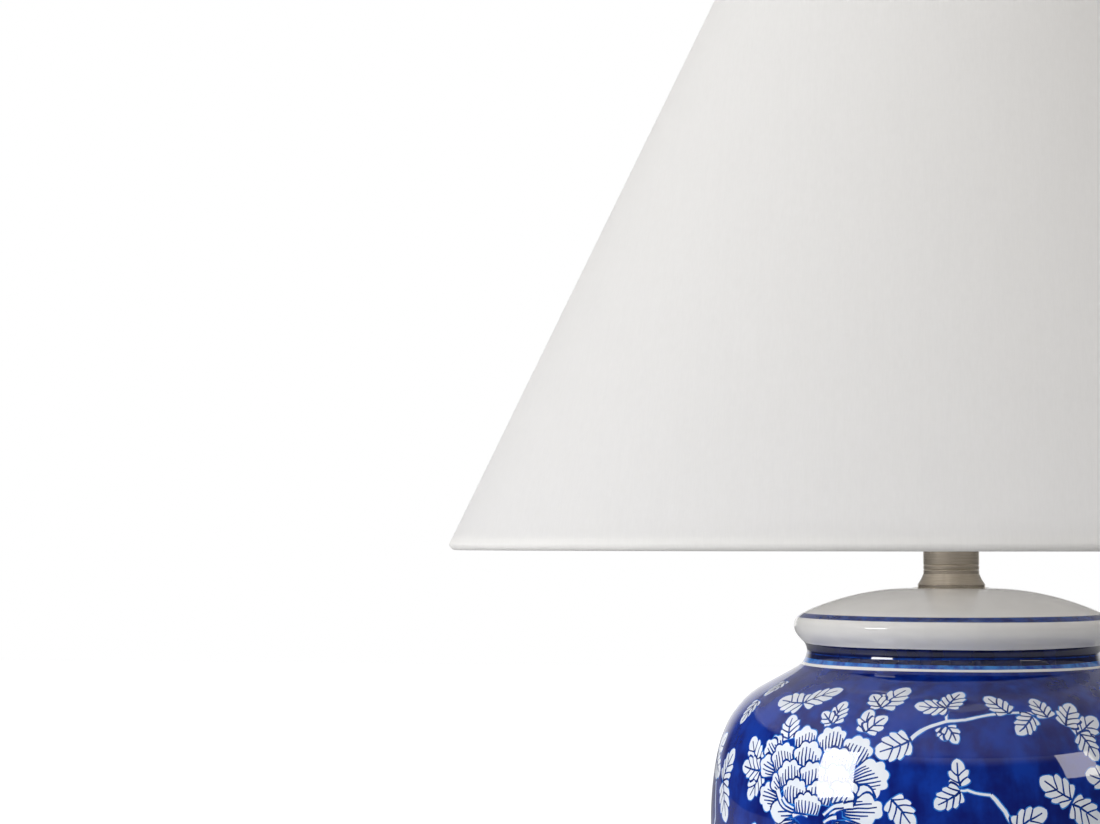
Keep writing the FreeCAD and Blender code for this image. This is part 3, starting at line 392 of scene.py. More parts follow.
# %% [markdown]
# ## Glaze
# The jar is painted in cobalt under a clear gloss. Six finishes share that gloss: the white of the collar
# and the top, the bluish white of the petals, which is also darker than the collar's white as painted shade
# that evens out the strong softbox light on the belly, the deep blue of the throat, which is painted shade
# under the collar's overhang, the cobalt wash, which pools and streaks as the brush leaves it, the azure
# edge where the wash thins out beside the white, and the ink of the lines and strokes.


# %% White and five blues under one gloss
def glaze(name, first, second, size, contrast):
    """One colour of the painting, clouded between two shades, under the common gloss."""
    paint = Finish(name, first, 0.03, IOR=1.6)
    point = paint.place()
    pool = paint.cloud(point, size, 4.0, 0.55)
    stroke = paint.cloud(paint.stretch(point, (1, 1, 0.22), (0.5, 0.4, 0)), size * 0.4, 3.0)
    wash = (pool * 0.65 + stroke * 0.35).between(0.5 - contrast, 0.5 + contrast)
    paint.dye(wash, first, second)
    paint.bump(paint.cloud(point, 0.018, 1.0), 0.00022, 0.35)
    return paint


white_glaze = glaze("white_glaze", (0.84, 0.835, 0.825), (0.88, 0.875, 0.86), 0.02, 0.2)
# The petals' white is bluish, and darker than the collar's white as painted shade that evens out the softbox
# light falling full on the belly.
petal_glaze = glaze("petal_glaze", (0.66, 0.71, 0.79), (0.74, 0.77, 0.82), 0.012, 0.2)
# The throat's deep blue is painted shade: the cobalt made darker where the collar overhangs it.
throat_glaze = glaze("throat_glaze", (0.0012, 0.003, 0.035), (0.002, 0.008, 0.08), 0.016, 0.14)
cobalt_glaze = glaze("cobalt_glaze", (0.002, 0.008, 0.13), (0.003, 0.032, 0.29), 0.016, 0.14)
azure_glaze = glaze("azure_glaze", (0.004, 0.05, 0.36), (0.03, 0.22, 0.66), 0.006, 0.12)
ink_glaze = glaze("ink_glaze", (0.002, 0.014, 0.13), (0.004, 0.05, 0.30), 0.005, 0.15)

bisque = Finish("bisque_stoneware", (0.62, 0.58, 0.51), 0.85)
grit = bisque.grain(0.0015, 5.0, 0.65)
bisque.dye(grit, (0.52, 0.48, 0.41), (0.70, 0.66, 0.60))
bisque.bump(grit, 0.0001, 0.5)

# %% [markdown]
# ## The jar's outline
# The glaze is a skin over the jar, so it needs the jar's own outline: the radius at each height. The
# same stations as in the CAD source are joined by the same arcs, and every point then knows its height,
# its radius, which way it faces and its distance along the curve from the top of the foot.

# %% Outline of the jar, in millimetres
FOOT_RADIUS, FOOT_TOP = 72, 8.5
# Radius, rise above the station before, and how many degrees the outline turns to the left on the way.
STATIONS = ((83.8, 44, -29.2), (109.6, 97.5, 29.6), (106.7, 29.5, 11.2), (101.7, 14.8, 15),
            (86, 16.5, 34.8), (70.5, 8.5, 0.6), (65.5, 8.2, -60.4), (67.4, 4.3, -47.7), (70.1, 3.1, 13.3),
            (71.4, 3.9, 32), (69.8, 3.6, 53), (63.7, 3.7, 16.8), (18, 9.6, 21.8), (15.5, 0, 0))
ARC_STEPS = 24


def heading(turn):
    """One unit in a direction, in radians to the left of +X."""
    return Vector((cos(turn), sin(turn)))


def arc_points(start, end, turn):
    """Points after start along the arc to end that turns by so many degrees."""
    half = radians(turn) / 2
    if half == 0:
        return [end]
    chord = end - start
    radius = chord.length / 2 / sin(half)
    first = atan2(chord.y, chord.x) - half
    swept = [half * step / ARC_STEPS for step in range(1, ARC_STEPS + 1)]
    return [start + heading(first + angle) * (2 * radius * sin(angle)) for angle in swept]


outline = [Vector((FOOT_RADIUS, FOOT_TOP - drop)) for drop in (5, 2, 0)]
for radius, rise, turn in STATIONS:
    outline += arc_points(outline[-1], Vector((radius, outline[-1].y + rise)), turn)
along = [-5.0]
for before, after in zip(outline, outline[1:]):
    along.append(along[-1] + (after - before).length)
facing = []
for index in range(len(outline)):
    way_on = outline[min(index + 1, len(outline) - 1)] - outline[max(index - 1, 0)]
    facing.append(Vector((way_on.y, -way_on.x)).normalized())


def on_outline(distance):
    """The point at that distance along the outline, and which way the surface faces there."""
    index = min(max(bisect.bisect_right(along, distance), 1), len(along) - 1)
    share = (distance - along[index - 1]) / (along[index] - along[index - 1])
    return outline[index - 1].lerp(outline[index], share), facing[index - 1].lerp(facing[index], share)


def distance_at(height):
    """The distance along the outline at a height."""
    heights = [point.y for point in outline]
    index = min(max(bisect.bisect_right(heights, height), 1), len(heights) - 2)
    share = (height - heights[index - 1]) / (heights[index] - heights[index - 1])
    return along[index - 1] + share * (along[index] - along[index - 1])


print("outline", len(outline), "points, up to", round(outline[-1].y, 2), "mm high,",
      round(along[-1], 1), "mm along it")

# %% [markdown]
# ## Painting with polygons
# The decoration is brushwork: white peonies and leaves left out of a cobalt ground, with a paler azure
# rim where the ground meets the white, and fine blue strokes in each petal. Edges stay sharp at any
# distance if the surface itself is cut along them. So each petal is a polygon on the unrolled jar, all
# go into one constrained triangulation, and each triangle takes the colour that was laid there last.

# %% Brushes
# Around and up the unrolled jar: an angle from the front towards +X, and a distance along the outline.
HALO, WHITE, EDGE, STROKE, GROUND, HOLE = range(6)
# A hand's wobble: how fast it changes by the millimetre, its size, and how far apart its two noises are.
WOBBLE_PACE, WOBBLE, WOBBLE_APART = 0.22, 0.45, 9.5
laid = []


class Spot:
    """A place on the jar where a motif grows: its heart, its scale, and whether it is mirrored."""

    def __init__(self, angle, distance, scale=1.0, side=1):
        self.angle, self.distance, self.scale, self.side = angle, distance, scale, side

    def put(self, points):
        """From millimetres right and up of the heart to angle and distance, with a hand's wobble."""
        placed = []
        for x, y in points:
            across, upward = (noise.noise(Vector((x * WOBBLE_PACE, y * WOBBLE_PACE, self.angle + apart)))
                              for apart in (0, WOBBLE_APART))
            x, y = x + across * WOBBLE, y + upward * WOBBLE
            distance = self.distance + y * self.scale
            radius = on_outline(distance)[0].x
            placed.append((self.angle + degrees(self.side * self.scale * x / radius), distance))
        return placed


def turned(points, x, y, direction):
    """Points that grow upwards from (0, 0), moved to (x, y) and turned clockwise by some degrees."""
    sine, cosine = sin(radians(direction)), cos(radians(direction))
    return [(x + px * cosine + py * sine, y - px * sine + py * cosine) for px, py in points]


def lay(brush, spot, points, x=0, y=0, direction=0):
    """Lays one more shape, moved and turned, on all that were laid before."""
    laid.append((brush, spot.put(turned(points, x, y, direction))))


def tapered(points, start_width, end_width):
    """A brush stroke along points: the outline of a line whose width changes evenly."""
    left, right = [], []
    for index, (x, y) in enumerate(points):
        before, after = points[max(index - 1, 0)], points[min(index + 1, len(points) - 1)]
        dx, dy = after[0] - before[0], after[1] - before[1]
        width = start_width + (end_width - start_width) * index / (len(points) - 1)
        across = width / 2 / hypot(dx, dy)
        left.append((x - dy * across, y + dx * across))
        right.append((x + dy * across, y - dx * across))
    return right + left[::-1]


def bowed(start, end, bow, steps):
    """Points from start to end on a shallow curve that bows to the left by a share of its length."""
    points = []
    for step in range(steps + 1):
        share = step / steps
        swell = sin(pi * share) * bow
        points.append((start[0] + (end[0] - start[0]) * share - (end[1] - start[1]) * swell,
                       start[1] + (end[1] - start[1]) * share + (end[0] - start[0]) * swell))
    return points


# %% A petal
# How far the azure rim and the ink line stand out round a white shape, and the order of the three.
RIM, INK = 0.45, 0.9
COATS = ((HALO, RIM), (EDGE, INK), (WHITE, 0))
STROKE_PITCH, STROKE_START, STROKE_END = 1.9, 0.95, 0.55
LOBE_STEPS, LOBE_ROUNDNESS, LOBE_SWELL = 5, 0.8, 0.36
# Shares of a petal's width and height: half its rim, where the rim starts, and its top without the lobes.
RIM_HALF, RIM_START, RIM_TOP = 0.43, 0.36, 0.82
BROAD_FOOT, NARROW_FOOT, UPRIGHT = 0.38, 0.2, 45


def lobe(start, end, swell, lean=0):
    """Points from start up to end on one rounded lobe, to the right of the way between them."""
    dx, dy = end[0] - start[0], end[1] - start[1]
    points = []
    for step in range(LOBE_STEPS):
        share = step / LOBE_STEPS
        out = sin(pi * share) ** LOBE_ROUNDNESS * swell
        on = share + sin(pi * share) * lean
        points.append((start[0] + dx * on + dy * out, start[1] + dy * on - dx * out))
    return points


def petal_arch(width, height, turn, grow=0):
    """A notch of the petal's rim: where the arch under its lobes is, from right (0) to left (180)."""
    turn = radians(turn)
    low = height * RIM_START
    return ((width * RIM_HALF + grow) * cos(turn), low + (height * RIM_TOP + grow - low) * sin(turn))


def petal_outline(width, height, foot, lobes, grow):
    """A fan that widens from its foot to a rim of round lobes. foot is its share of the width."""
    notches = [petal_arch(width, height, 180 * number / lobes, grow) for number in range(lobes + 1)]
    points = [(foot * width + grow, -grow)]
    for start, end in zip(notches, notches[1:]):
        points += lobe(start, end, LOBE_SWELL)
    return points + [notches[-1], (-foot * width - grow, -grow)]


def petal(spot, x, y, direction, width, height, lobes):
    """One petal: azure rim on the ground, ink line on its neighbours, white, then its bold strokes."""
    foot = BROAD_FOOT if abs(direction) < UPRIGHT else NARROW_FOOT
    for brush, grow in COATS:
        lay(brush, spot, petal_outline(width, height, foot, lobes, grow), x, y, direction)
    strokes = max(round(width / STROKE_PITCH), 3)
    for number in range(strokes):
        fan = (number + 0.5) / strokes * 2 - 1
        rim_x, rim_y = petal_arch(width, height, 90 - 72 * fan)
        reach = 0.80 - 0.12 * fan * fan + 0.10 * sin(7.1 * number + x)
        start = (fan * width * foot, -0.3)
        end = (start[0] + (rim_x - start[0]) * reach, rim_y * reach)
        line = tapered(bowed(start, end, -0.06 * fan, 4), STROKE_START, STROKE_END)
        lay(STROKE, spot, line, x, y, direction)


# %% A curled finger petal, a leaf and a stem
LEAF_HALF, LEAF_SKEW, LEAF_LEAST_WIDTH = 0.38, 0.6, 6.5
# Where a leaf's fingers part, as shares of its length, for a short leaf and for a long one.
SHORT_LEAF, SHORT_PARTS, LONG_PARTS = 12, (0.30, 0.60), (0.24, 0.46, 0.68)
MIDRIB, VEIN, VEIN_END = 1.05, 0.75, 0.6
MIDRIB_REACH, VEIN_RISE, OVERLAP = 0.86, 0.22, 0.3


def finger(spot, start, end, width, bow):
    """A narrow petal seen from its edge: a curved white stroke with an ink line round it."""
    for brush, grow in COATS:
        lay(brush, spot, tapered(bowed(start, end, bow, 7), width + 2 * grow, width * 0.45 + 2 * grow))


def leaf_notch(length, width, share, grow=0):
    """Where two fingers of a leaf part, on its right side, at a share of its length."""
    return (width * LEAF_HALF * sin(pi * share ** LEAF_SKEW) ** LEAF_SKEW + grow,
            length * share + grow * (2 * share - 1))


def leaf(base, tip, share=0.76):
    """One leaf from base to tip, both an angle and a distance: rounded fingers along a bold midrib."""
    spot = Spot(*base)
    dx, dy = radians(tip[0] - base[0]) * on_outline(tip[1])[0].x, tip[1] - base[1]
    length, direction = hypot(dx, dy), degrees(atan2(dx, dy))
    width = max(share * length, LEAF_LEAST_WIDTH)
    parts = SHORT_PARTS if length < SHORT_LEAF else LONG_PARTS
    for brush, grow in COATS:
        notches = [(grow, -grow)] + [leaf_notch(length, width, part, grow) for part in parts]
        right = []
        for start, end in zip(notches, notches[1:]):
            right += lobe(start, end, 0.4, 0.3)
        right += lobe(notches[-1], (0, length + grow), 0.2)
        left = [(-x, y) for x, y in reversed(right)]
        lay(brush, spot, right + [(0, length + grow)] + left, 0, 0, direction)
    veins = [((0, -OVERLAP), (0, length * MIDRIB_REACH), MIDRIB)]
    for part in parts:
        x, y = leaf_notch(length, width, part)
        for side in (-1, 1):
            veins.append(((0, max(y - length * VEIN_RISE, 0)), (side * (x + OVERLAP), y + OVERLAP), VEIN))
    for start, end, thickness in veins:
        lay(STROKE, spot, tapered(bowed(start, end, 0.03, 4), thickness, VEIN_END), 0, 0, direction)


def stem(points, start_width, end_width):
    """A branch through points, each an angle and a distance."""
    spot = Spot(*points[0])
    radius = on_outline(points[0][1])[0].x
    flat = [(radians(angle - points[0][0]) * radius, distance - points[0][1])
            for angle, distance in points]
    fine = []
    for before, after in zip(flat, flat[1:]):
        fine += bowed(before, after, 0.05, 6)[:-1]
    fine.append(flat[-1])
    for brush, grow in ((HALO, RIM), (WHITE, 0)):
        lay(brush, spot, tapered(fine, start_width + 2 * grow, end_width + 2 * grow))


# %% The peony, its leaves and its branch
# A petal's foot right and up of the heart, its direction, width, height and the lobes of its rim.
PETALS = (
    (-24.2, 24.7, -34, 7.5, 9, 3), (-9.4, 27.1, -11, 12.5, 11, 3), (4.1, 27.1, -11, 14.5, 11.6, 4),
    (14.6, 22.4, 17, 14.5, 13.4, 4), (-25.2, 22.2, -50, 9, 11, 3), (-24, 16.1, -74, 10, 12.5, 3),
    (15.4, 13.7, 74, 17, 19.5, 5), (10.4, 6.2, 81, 8, 20, 2), (-20.2, 4.3, -85, 12.5, 14.8, 4),
    (8, -4, 104, 11, 22, 3), (-9.8, -5, -112, 11, 16, 3), (12.8, 2.3, 85, 11.5, 21, 4),
    (-9.5, 0.4, -95, 6, 19, 2), (-8, -5, -140, 11, 15, 3), (-1, -6, -172, 11, 14, 4),
    (7, -5, 152, 11, 15, 3), (11, -4, 128, 11, 18, 3),
    (8, 18, 2, 14.5, 11.6, 4), (-18.5, 17.8, -22, 14.5, 12.3, 4), (-6.7, 18.7, -3, 15.5, 12.7, 4),
    (6.3, 7.1, 65, 12.5, 15.4, 3), (7.9, 12.1, 4, 13.5, 9.8, 4), (-18.5, 8.5, -46, 9, 10, 3),
    (-14.2, 10.8, -11, 14.5, 12, 4), (-3.1, 11.8, -2, 13, 11, 4), (9, 4.5, 32, 12, 11.5, 3),
    (-11.3, 3.4, 0, 14.5, 11.8, 5), (0.8, 4.5, 6, 13.5, 10.3, 4), (-4.7, 0, 2, 15, 9, 5))
# The curled petals beside the heart: start, end, width and bow of each.
FINGERS = (((-21.5, 8.5), (-11.5, 0.5), 2.2, -0.18), ((-18, 5.5), (-11, 1.5), 1.4, -0.1),
           ((17.5, 5), (5.5, -2.2), 2.4, -0.14), ((13, 5), (4, 0), 1.8, -0.1),
           ((10, -0.5), (4, -3), 1.4, -0.1), ((-12, -1.5), (-4, -1), 1.5, 0.12))
# A leaf's base and its tip, each an angle and a distance.
LEAVES = (
    (-43.5, 210.2, -54.8, 210.7), (-43.5, 210.2, -34.5, 222.1),
    (-30.2, 200.3, -30, 212.8), (-30.6, 200.3, -35, 206), (-18.8, 210.1, -13.2, 224.8),
    (-18.8, 210.1, -23.5, 218.9), (-20.8, 197, -21.8, 208.5), (-20.8, 197, -16.4, 205.4),
    (-50.8, 179.2, -56.5, 190.1), (-49.5, 176.2, -53.2, 163.7),
    (-50, 177, -57.6, 177.4), (-13.5, 169.5, -8.4, 158.5), (1.5, 175.5, 0.8, 186.5),
    (1.5, 173.6, -4.2, 166.6), (-1.5, 211.1, -10, 211.7), (-1.5, 211.1, 2.8, 222.4),
    (-2.5, 200.3, -1.8, 194.3), (-1.5, 201, 1.2, 193.1), (51.5, 168.7, 56.2, 183.7),
    (52.2, 168.6, 56, 151.7), (53.8, 208.3, 53.2, 195.3), (53.2, 224.1, 54.2, 211.6))

stem([(-10, 193.9), (-7.5, 198.6), (-2.5, 202.9), (2.2, 204.1), (14, 208), (24, 205), (32, 198)], 1.6, 0.9)
stem([(-1.5, 203.3), (-1.2, 209.3)], 1.0, 0.8)
for sizes in LEAVES:
    leaf(sizes[:2], sizes[2:])
leaf((-10, 193.9), (-17.8, 187.6), 0.86)
leaf((-42.2, 191.5), (-44.4, 203.2), 0.95)


def peony(spot):
    """The whole flower: its petals from the back to the front, with the curled ones before the last."""
    for sizes in PETALS[:-1]:
        petal(spot, *sizes)
    for sizes in FINGERS:
        finger(spot, *sizes)
    petal(spot, *PETALS[-1])


peony(Spot(-31.3, 161.2))

# %% The smaller peony lower down, and the sprays round the belly
SPRAYS = (
    (13, 158, 20, 166), (14, 155, 6, 150), (17, 143, 9, 139), (19, 140, 27, 146),
    (-38, 130, -47, 134), (-37, 126, -29, 131), (-35, 118, -45, 115), (-33, 112, -24, 116),
    (-28, 101, -37, 97), (-25, 95, -16, 100), (-21, 82, -30, 84), (-20, 78, -11, 82),
    (-22, 68, -13, 64), (-24, 62, -33, 66), (-30, 53, -24, 43), (-38, 44, -46, 36),
    (-37, 45, -47, 52), (-52, 152, -47, 143), (-56, 132, -52, 121), (41, 140, 35, 131),
    (44, 128, 52, 133), (30, 196, 38, 204), (31, 197, 34, 185), (24, 205, 22, 217),
    (20, 206, 15, 197), (14, 208, 9, 219), (28, 201, 33, 213), (40, 178, 46, 189),
    (40, 176, 48, 171), (38, 176, 30, 180), (26, 168, 33, 160), (26, 170, 19, 179),
    (5, 128, 10, 117), (0, 120, -8, 113), (2, 108, 6, 97), (-6, 92, -1, 81),
    (56, 112, 50, 102), (58, 92, 52, 80), (4, 62, -3, 53), (10, 56, 18, 48),
    (34, 56, 27, 46), (40, 54, 49, 46), (56, 60, 62, 50))
stem([(8, 172), (13, 158), (17, 143), (24, 128)], 1.5, 1.1)
stem([(8, 172), (3, 174), (1.5, 174)], 1.0, 0.8)
stem([(-34, 148), (-38, 130), (-33, 112), (-25, 95)], 1.5, 1.0)
stem([(-25, 95), (-20, 76), (-27, 58), (-38, 44)], 1.1, 0.8)
stem([(40, 177), (45, 166), (47, 152), (42, 138), (33, 126)], 1.4, 1.0)
stem([(4, 62), (14, 66), (24, 62), (36, 56), (48, 60), (58, 58)], 1.2, 0.8)
for sizes in SPRAYS:
    leaf(sizes[:2], sizes[2:])
peony(Spot(29, 98, 0.86, -1))
print("shapes in a third of the jar", len(laid))

# %% [markdown]
# ## Triangulating the painting
# Three such thirds go round the jar, as the pattern repeats. The unrolled jar is a rectangle whose two
# ends meet at the seam, so a shape that crosses the seam is laid at both ends. The rectangle also holds
# the hole for the cord's grommet.

# %% Cutting the rectangle along the shapes
COLUMNS, ROW, SEAM = 240, 4.0, 150
FIELD_LOW, FIELD_HIGH = along[0] + 0.4, distance_at(219.6)
PER_DEGREE = 100 * radians(1)
GROMMET_Z, GROMMET_HOLE = 11, 8.1
# What the triangulation gives: everything inside the hull, or only what lies inside a shape.
WHOLE_HULL, INSIDE_SHAPES, SAME_POINT = 0, 1, 1e-4

step_angle = 360 / COLUMNS
angles = [SEAM - 360 + step_angle * column for column in range(COLUMNS + 1)]
row_count = round((FIELD_HIGH - FIELD_LOW) / ROW)
rows = [FIELD_LOW + (FIELD_HIGH - FIELD_LOW) * row / row_count for row in range(row_count + 1)]
flat_points, flat_faces, brushes = [], [], []


def lay_flat(brush, shape, shift=0):
    """Adds a shape of angles and distances to the triangulation, anticlockwise."""
    flat = [((angle + shift) * PER_DEGREE, distance) for angle, distance in shape]
    if all(u > SEAM * PER_DEGREE for u, v in flat) or all(u < (SEAM - 360) * PER_DEGREE for u, v in flat):
        return
    area = sum(a[0] * b[1] - b[0] * a[1] for a, b in zip(flat, flat[1:] + flat[:1]))
    flat_faces.append(list(range(len(flat_points), len(flat_points) + len(flat)))[::1 if area > 0 else -1])
    flat_points.extend(Vector(point) for point in flat)
    brushes.append(brush)


lay_flat(GROUND, [(angle, rows[0]) for angle in angles] + [(angles[-1], row) for row in rows[1:-1]]
         + [(angle, rows[-1]) for angle in reversed(angles)] + [(angles[0], row) for row in rows[-2:0:-1]])
for third in (0, 120, 240):
    for brush, shape in laid:
        for shift in (third - 360, third, third + 360):
            lay_flat(brush, shape, shift)
grommet_distance = GROMMET_Z - FOOT_TOP
lay_flat(HOLE, [(-180 + degrees(GROMMET_HOLE * cos(radians(turn)) / FOOT_RADIUS),
                 grommet_distance + GROMMET_HOLE * sin(radians(turn)))
                for turn in range(0, 360, 10)])

cut_points, _, triangles, _, _, owners = delaunay_2d_cdt(
    flat_points, [], flat_faces, INSIDE_SHAPES, SAME_POINT, True)
print("triangulation", len(cut_points), "points", len(triangles), "triangles from", len(flat_faces), "shapes")

# %% What the brushes leave on each triangle
COBALT_SLOT, WHITE_SLOT, AZURE_SLOT, INK_SLOT, PETAL_SLOT, SHADED_THROAT_SLOT = range(6)


def painted(owner):
    """The finish of a triangle from the shapes that cover it, or None where there is no glaze."""
    kinds = [brushes[index] for index in sorted(owner)]
    if GROUND not in kinds or HOLE in kinds:
        return None
    paint = COBALT_SLOT
    for kind in kinds:
        if kind == HALO and paint == COBALT_SLOT:
            paint = AZURE_SLOT
        elif kind == WHITE:
            paint = PETAL_SLOT
        elif kind in (EDGE, STROKE) and paint == PETAL_SLOT:
            paint = INK_SLOT
    return paint


paints = [painted(owner) for owner in owners]
print("painted", len(paints) - paints.count(None), "triangles")

# %% [markdown]
# ## Leaving out the cuts that don't show
# Many of those cuts lie hidden under petals that were laid later. So only the edges between two finishes
# are kept and triangulated again, now with a grid of points close enough to follow the jar's curves.
# Each new triangle takes the finish that the first sheet has under its centre.

# %% Only the edges between two finishes
beside = {}
for triangle, paint in zip(triangles, paints):
    for a, b in zip(triangle, triangle[1:] + triangle[:1]):
        beside.setdefault((min(a, b), max(a, b)), []).append(paint)
borders = [pair for pair, both in beside.items() if both != [None] and (len(both) == 1 or both[0] != both[1])]
kept = sorted({number for pair in borders for number in pair})
renumbered = {number: index for index, number in enumerate(kept)}
first_sheet = BVHTree.FromPolygons([point.to_3d() for point in cut_points], triangles)
grid_points = [Vector((angle * PER_DEGREE, row)) for angle in angles[1:-1] for row in rows[1:-1]]
cut_points, _, triangles, _, _, _ = delaunay_2d_cdt(
    [cut_points[number] for number in kept] + grid_points,
    [(renumbered[a], renumbered[b]) for a, b in borders], [], WHOLE_HULL, SAME_POINT, False)
print("kept", len(kept), "cut points, now", len(cut_points), "points", len(triangles), "triangles")

faces, slots = [], []
for triangle in triangles:
    a, b, c = (cut_points[number] for number in triangle)
    paint = paints[first_sheet.find_nearest(((a + b + c) / 3).to_3d())[2]]
    if paint is not None:
        anticlockwise = (b - a).cross(c - a) > 0
        faces.append(tuple(triangle)[::1 if anticlockwise else -1])
        slots.append(paint)

# %% [markdown]
# ## From the rectangle to the jar
# Above the painted field come plain rings: the last of the ground, a white line, an azure one, the throat,
# whose darker blue is painted shade under the collar, with a thin line in it, the white collar with its blue
# line, and the white top up to the neck. They are ordinary rows of quads on the same columns, so they share
# the field's top edge. The skin lies 0.15 mm off the body, and its borders dip into it.

# %% The glaze's points and faces
GLAZE_LIFT, DIP = 0.15, -0.35
skin_points, skin_normals, skin_maps = [], [], []


def round_axis(radius, height, turn):
    """The point at a radius and a height, turned about the lamp's axis from the front towards +X."""
    return Vector((radius * sin(turn), -radius * cos(turn), height))


def skin_point(angle, distance, lift=GLAZE_LIFT):
    """Adds a point of the skin and gives its number."""
    point, face = on_outline(distance)
    turn = radians(angle)
    skin_points.append(round_axis(point.x + face.x * lift, point.y + face.y * lift, turn) * MM)
    skin_normals.append(round_axis(face.x, face.y, turn).normalized())
    skin_maps.append(((angle - angles[0]) / 360, (distance - along[0]) / (along[-1] - along[0])))
    return len(skin_points) - 1


rim = {}
for number, (u, v) in enumerate(cut_points):
    angle = u / PER_DEGREE
    from_hole = hypot(radians(angle + 180) * FOOT_RADIUS, v - grommet_distance)
    border = v < rows[0] + 0.01 or abs(from_hole - GROMMET_HOLE) < 0.05
    skin_point(angle, v, DIP if border else GLAZE_LIFT)
    if v > rows[-1] - 0.001:
        rim[round(angle / step_angle)] = number
edge_row = [rim[round(angle / step_angle)] for angle in angles]

# Each ring: the height of its upper edge, its finish, how far that edge sways, and its rows.
# The throat's rings take its darker blue, which is painted shade under the collar.
RINGS = ((221.1, COBALT_SLOT, 0.14, 2), (222.2, WHITE_SLOT, 0.14, 1), (224.0, AZURE_SLOT, 0.2, 2),
         (226.2, SHADED_THROAT_SLOT, 0.25, 2), (226.8, INK_SLOT, 0.25, 1), (230.8, SHADED_THROAT_SLOT, 0.2, 4),
         (242.3, WHITE_SLOT, 0.1, 14), (244.3, INK_SLOT, 0.1, 3), (255.69, WHITE_SLOT, 0.0, 22))


def ring_row(distance, sway, phase, lift=GLAZE_LIFT):
    """A row of points round the jar whose height sways a little, as a line drawn on a turning jar does."""
    return [skin_point(angle, distance + sway * (sin(radians(angle * 2) + phase)
                                                 + 0.6 * sin(radians(angle * 5) + phase * 2)), lift)
            for angle in angles]


def join_rows(lower_row, upper_row, slot):
    for column in range(COLUMNS):
        faces.append((lower_row[column], lower_row[column + 1], upper_row[column + 1], upper_row[column]))
        slots.append(slot)


start = rows[-1]
for height, slot, sway, ring_rows in RINGS:
    stop = distance_at(height)
    for row in range(1, ring_rows + 1):
        next_row = ring_row(start + (stop - start) * row / ring_rows, sway * row / ring_rows, height)
        join_rows(edge_row, next_row, slot)
        edge_row = next_row
    start = stop
join_rows(edge_row, ring_row(along[-1], 0, 0, DIP), WHITE_SLOT)
print("skin", len(skin_points), "points", len(faces), "faces")


# %% A mesh with its seam closed
def made_piece(name, points, faces, slots, finishes, maps, normals=None):
    """A piece from points and faces. maps gives each UV map's place for every point, by its name."""
    mesh = bpy.data.meshes.new(name)
    mesh.from_pydata(points, [], faces)
    for finish in finishes:
        mesh.materials.append(finish.material)
    mesh.polygons.foreach_set("material_index", slots)
    mesh.shade_smooth()
    corners = [loop.vertex_index for loop in mesh.loops]
    for map_name, places in maps.items():
        layer = mesh.uv_layers.new(name=map_name)
        layer.uv.foreach_set("vector", [number for corner in corners for number in places[corner]])
    if normals:
        # They ride along as an attribute, because closing the seam renumbers the points.
        kept = mesh.attributes.new("facing", "FLOAT_VECTOR", "POINT")
        kept.data.foreach_set("vector", [number for normal in normals for number in normal])
    shape = bmesh.new()
    shape.from_mesh(mesh)
    bmesh.ops.remove_doubles(shape, verts=shape.verts, dist=1e-6)
    loose = [point for point in shape.verts if not point.link_faces]
    bmesh.ops.delete(shape, geom=loose, context="VERTS")
    open_edges = sum(1 for edge in shape.edges if len(edge.link_faces) != 2)
    shape.to_mesh(mesh)
    shape.free()
    if normals:
        kept = [item.vector.copy() for item in mesh.attributes["facing"].data]
        mesh.normals_split_custom_set_from_vertices(kept)
        mesh.attributes.remove(mesh.attributes["facing"])
    print(name, len(mesh.vertices), "points", len(mesh.polygons), "faces", open_edges, "open edges")
    return in_scene(name, mesh)


glazes = (cobalt_glaze, white_glaze, azure_glaze, ink_glaze, petal_glaze, throat_glaze)
skin = made_piece("glaze_coat", skin_points, faces, slots, glazes, {"OFBake": skin_maps}, skin_normals)
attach(skin, "lamp")

# %% [markdown]
# ## The shade's cloth
# The cloth is one flat piece, the sector of a ring, glued to a stiff liner and rolled round the two wire
# rings, where it ends inside as a hook. It is modelled as that: one closed sheet with its real section,
# and a lapped seam up the back, where one end lies on the other. Two UV maps go with it: the flat cut in
# metres for the weave, and an unrolled rectangle for anything that needs every point once.

# %% Section of the cloth, in millimetres
LOW_RING, HIGH_RING = Vector((225.8, 275.8)), Vector((73.4, 589.2))
CLOTH_INSIDE, CLOTH_OUTSIDE = 1.9, 2.8
HEM_TURN = 60
HEM_STEPS, WALL_STEPS = 15, 36


def cloth_line(reach):
    """The cloth's line at that distance from the rings, from one hook to the other."""
    turns = [(90 + HEM_TURN) * step / HEM_STEPS for step in range(HEM_STEPS + 1)]
    low = [LOW_RING + heading(radians(-90 - HEM_TURN + turn)) * reach for turn in turns[:-1]]
    wall = [LOW_RING.lerp(HIGH_RING, step / WALL_STEPS) + Vector((reach, 0)) for step in range(WALL_STEPS)]
    return low + wall + [HIGH_RING + heading(radians(turn)) * reach for turn in turns]


outside, inside = cloth_line(CLOTH_OUTSIDE), cloth_line(CLOTH_INSIDE)
section = outside + inside[::-1]
lengths = [0.0]
for before, after in zip(outside, outside[1:]):
    lengths.append(lengths[-1] + (after - before).length)
slope = HIGH_RING - LOW_RING
cone = -slope.x / slope.length
low_slant = (LOW_RING.x + CLOTH_OUTSIDE) / cone
print("cone", round(slope.length, 1), "mm slant, sine", round(cone, 4),
      "cloth", round(lengths[-1], 1), "mm from hook to hook")

# %% The cloth's mesh
CLOTH_COLUMNS = 288
LAP, LAP_RISE = 3.2, 0.45
cloth_angles = [-180 + 360 * column / CLOTH_COLUMNS for column in range(CLOTH_COLUMNS)] + [179.96, 180]


def lapped(angle):
    """How far the lapped end stands off the cloth under it, near the back seam."""
    return LAP_RISE * min(max((angle - 180 + LAP) / (LAP * 0.35), 0), 1) if angle < 180 else 0


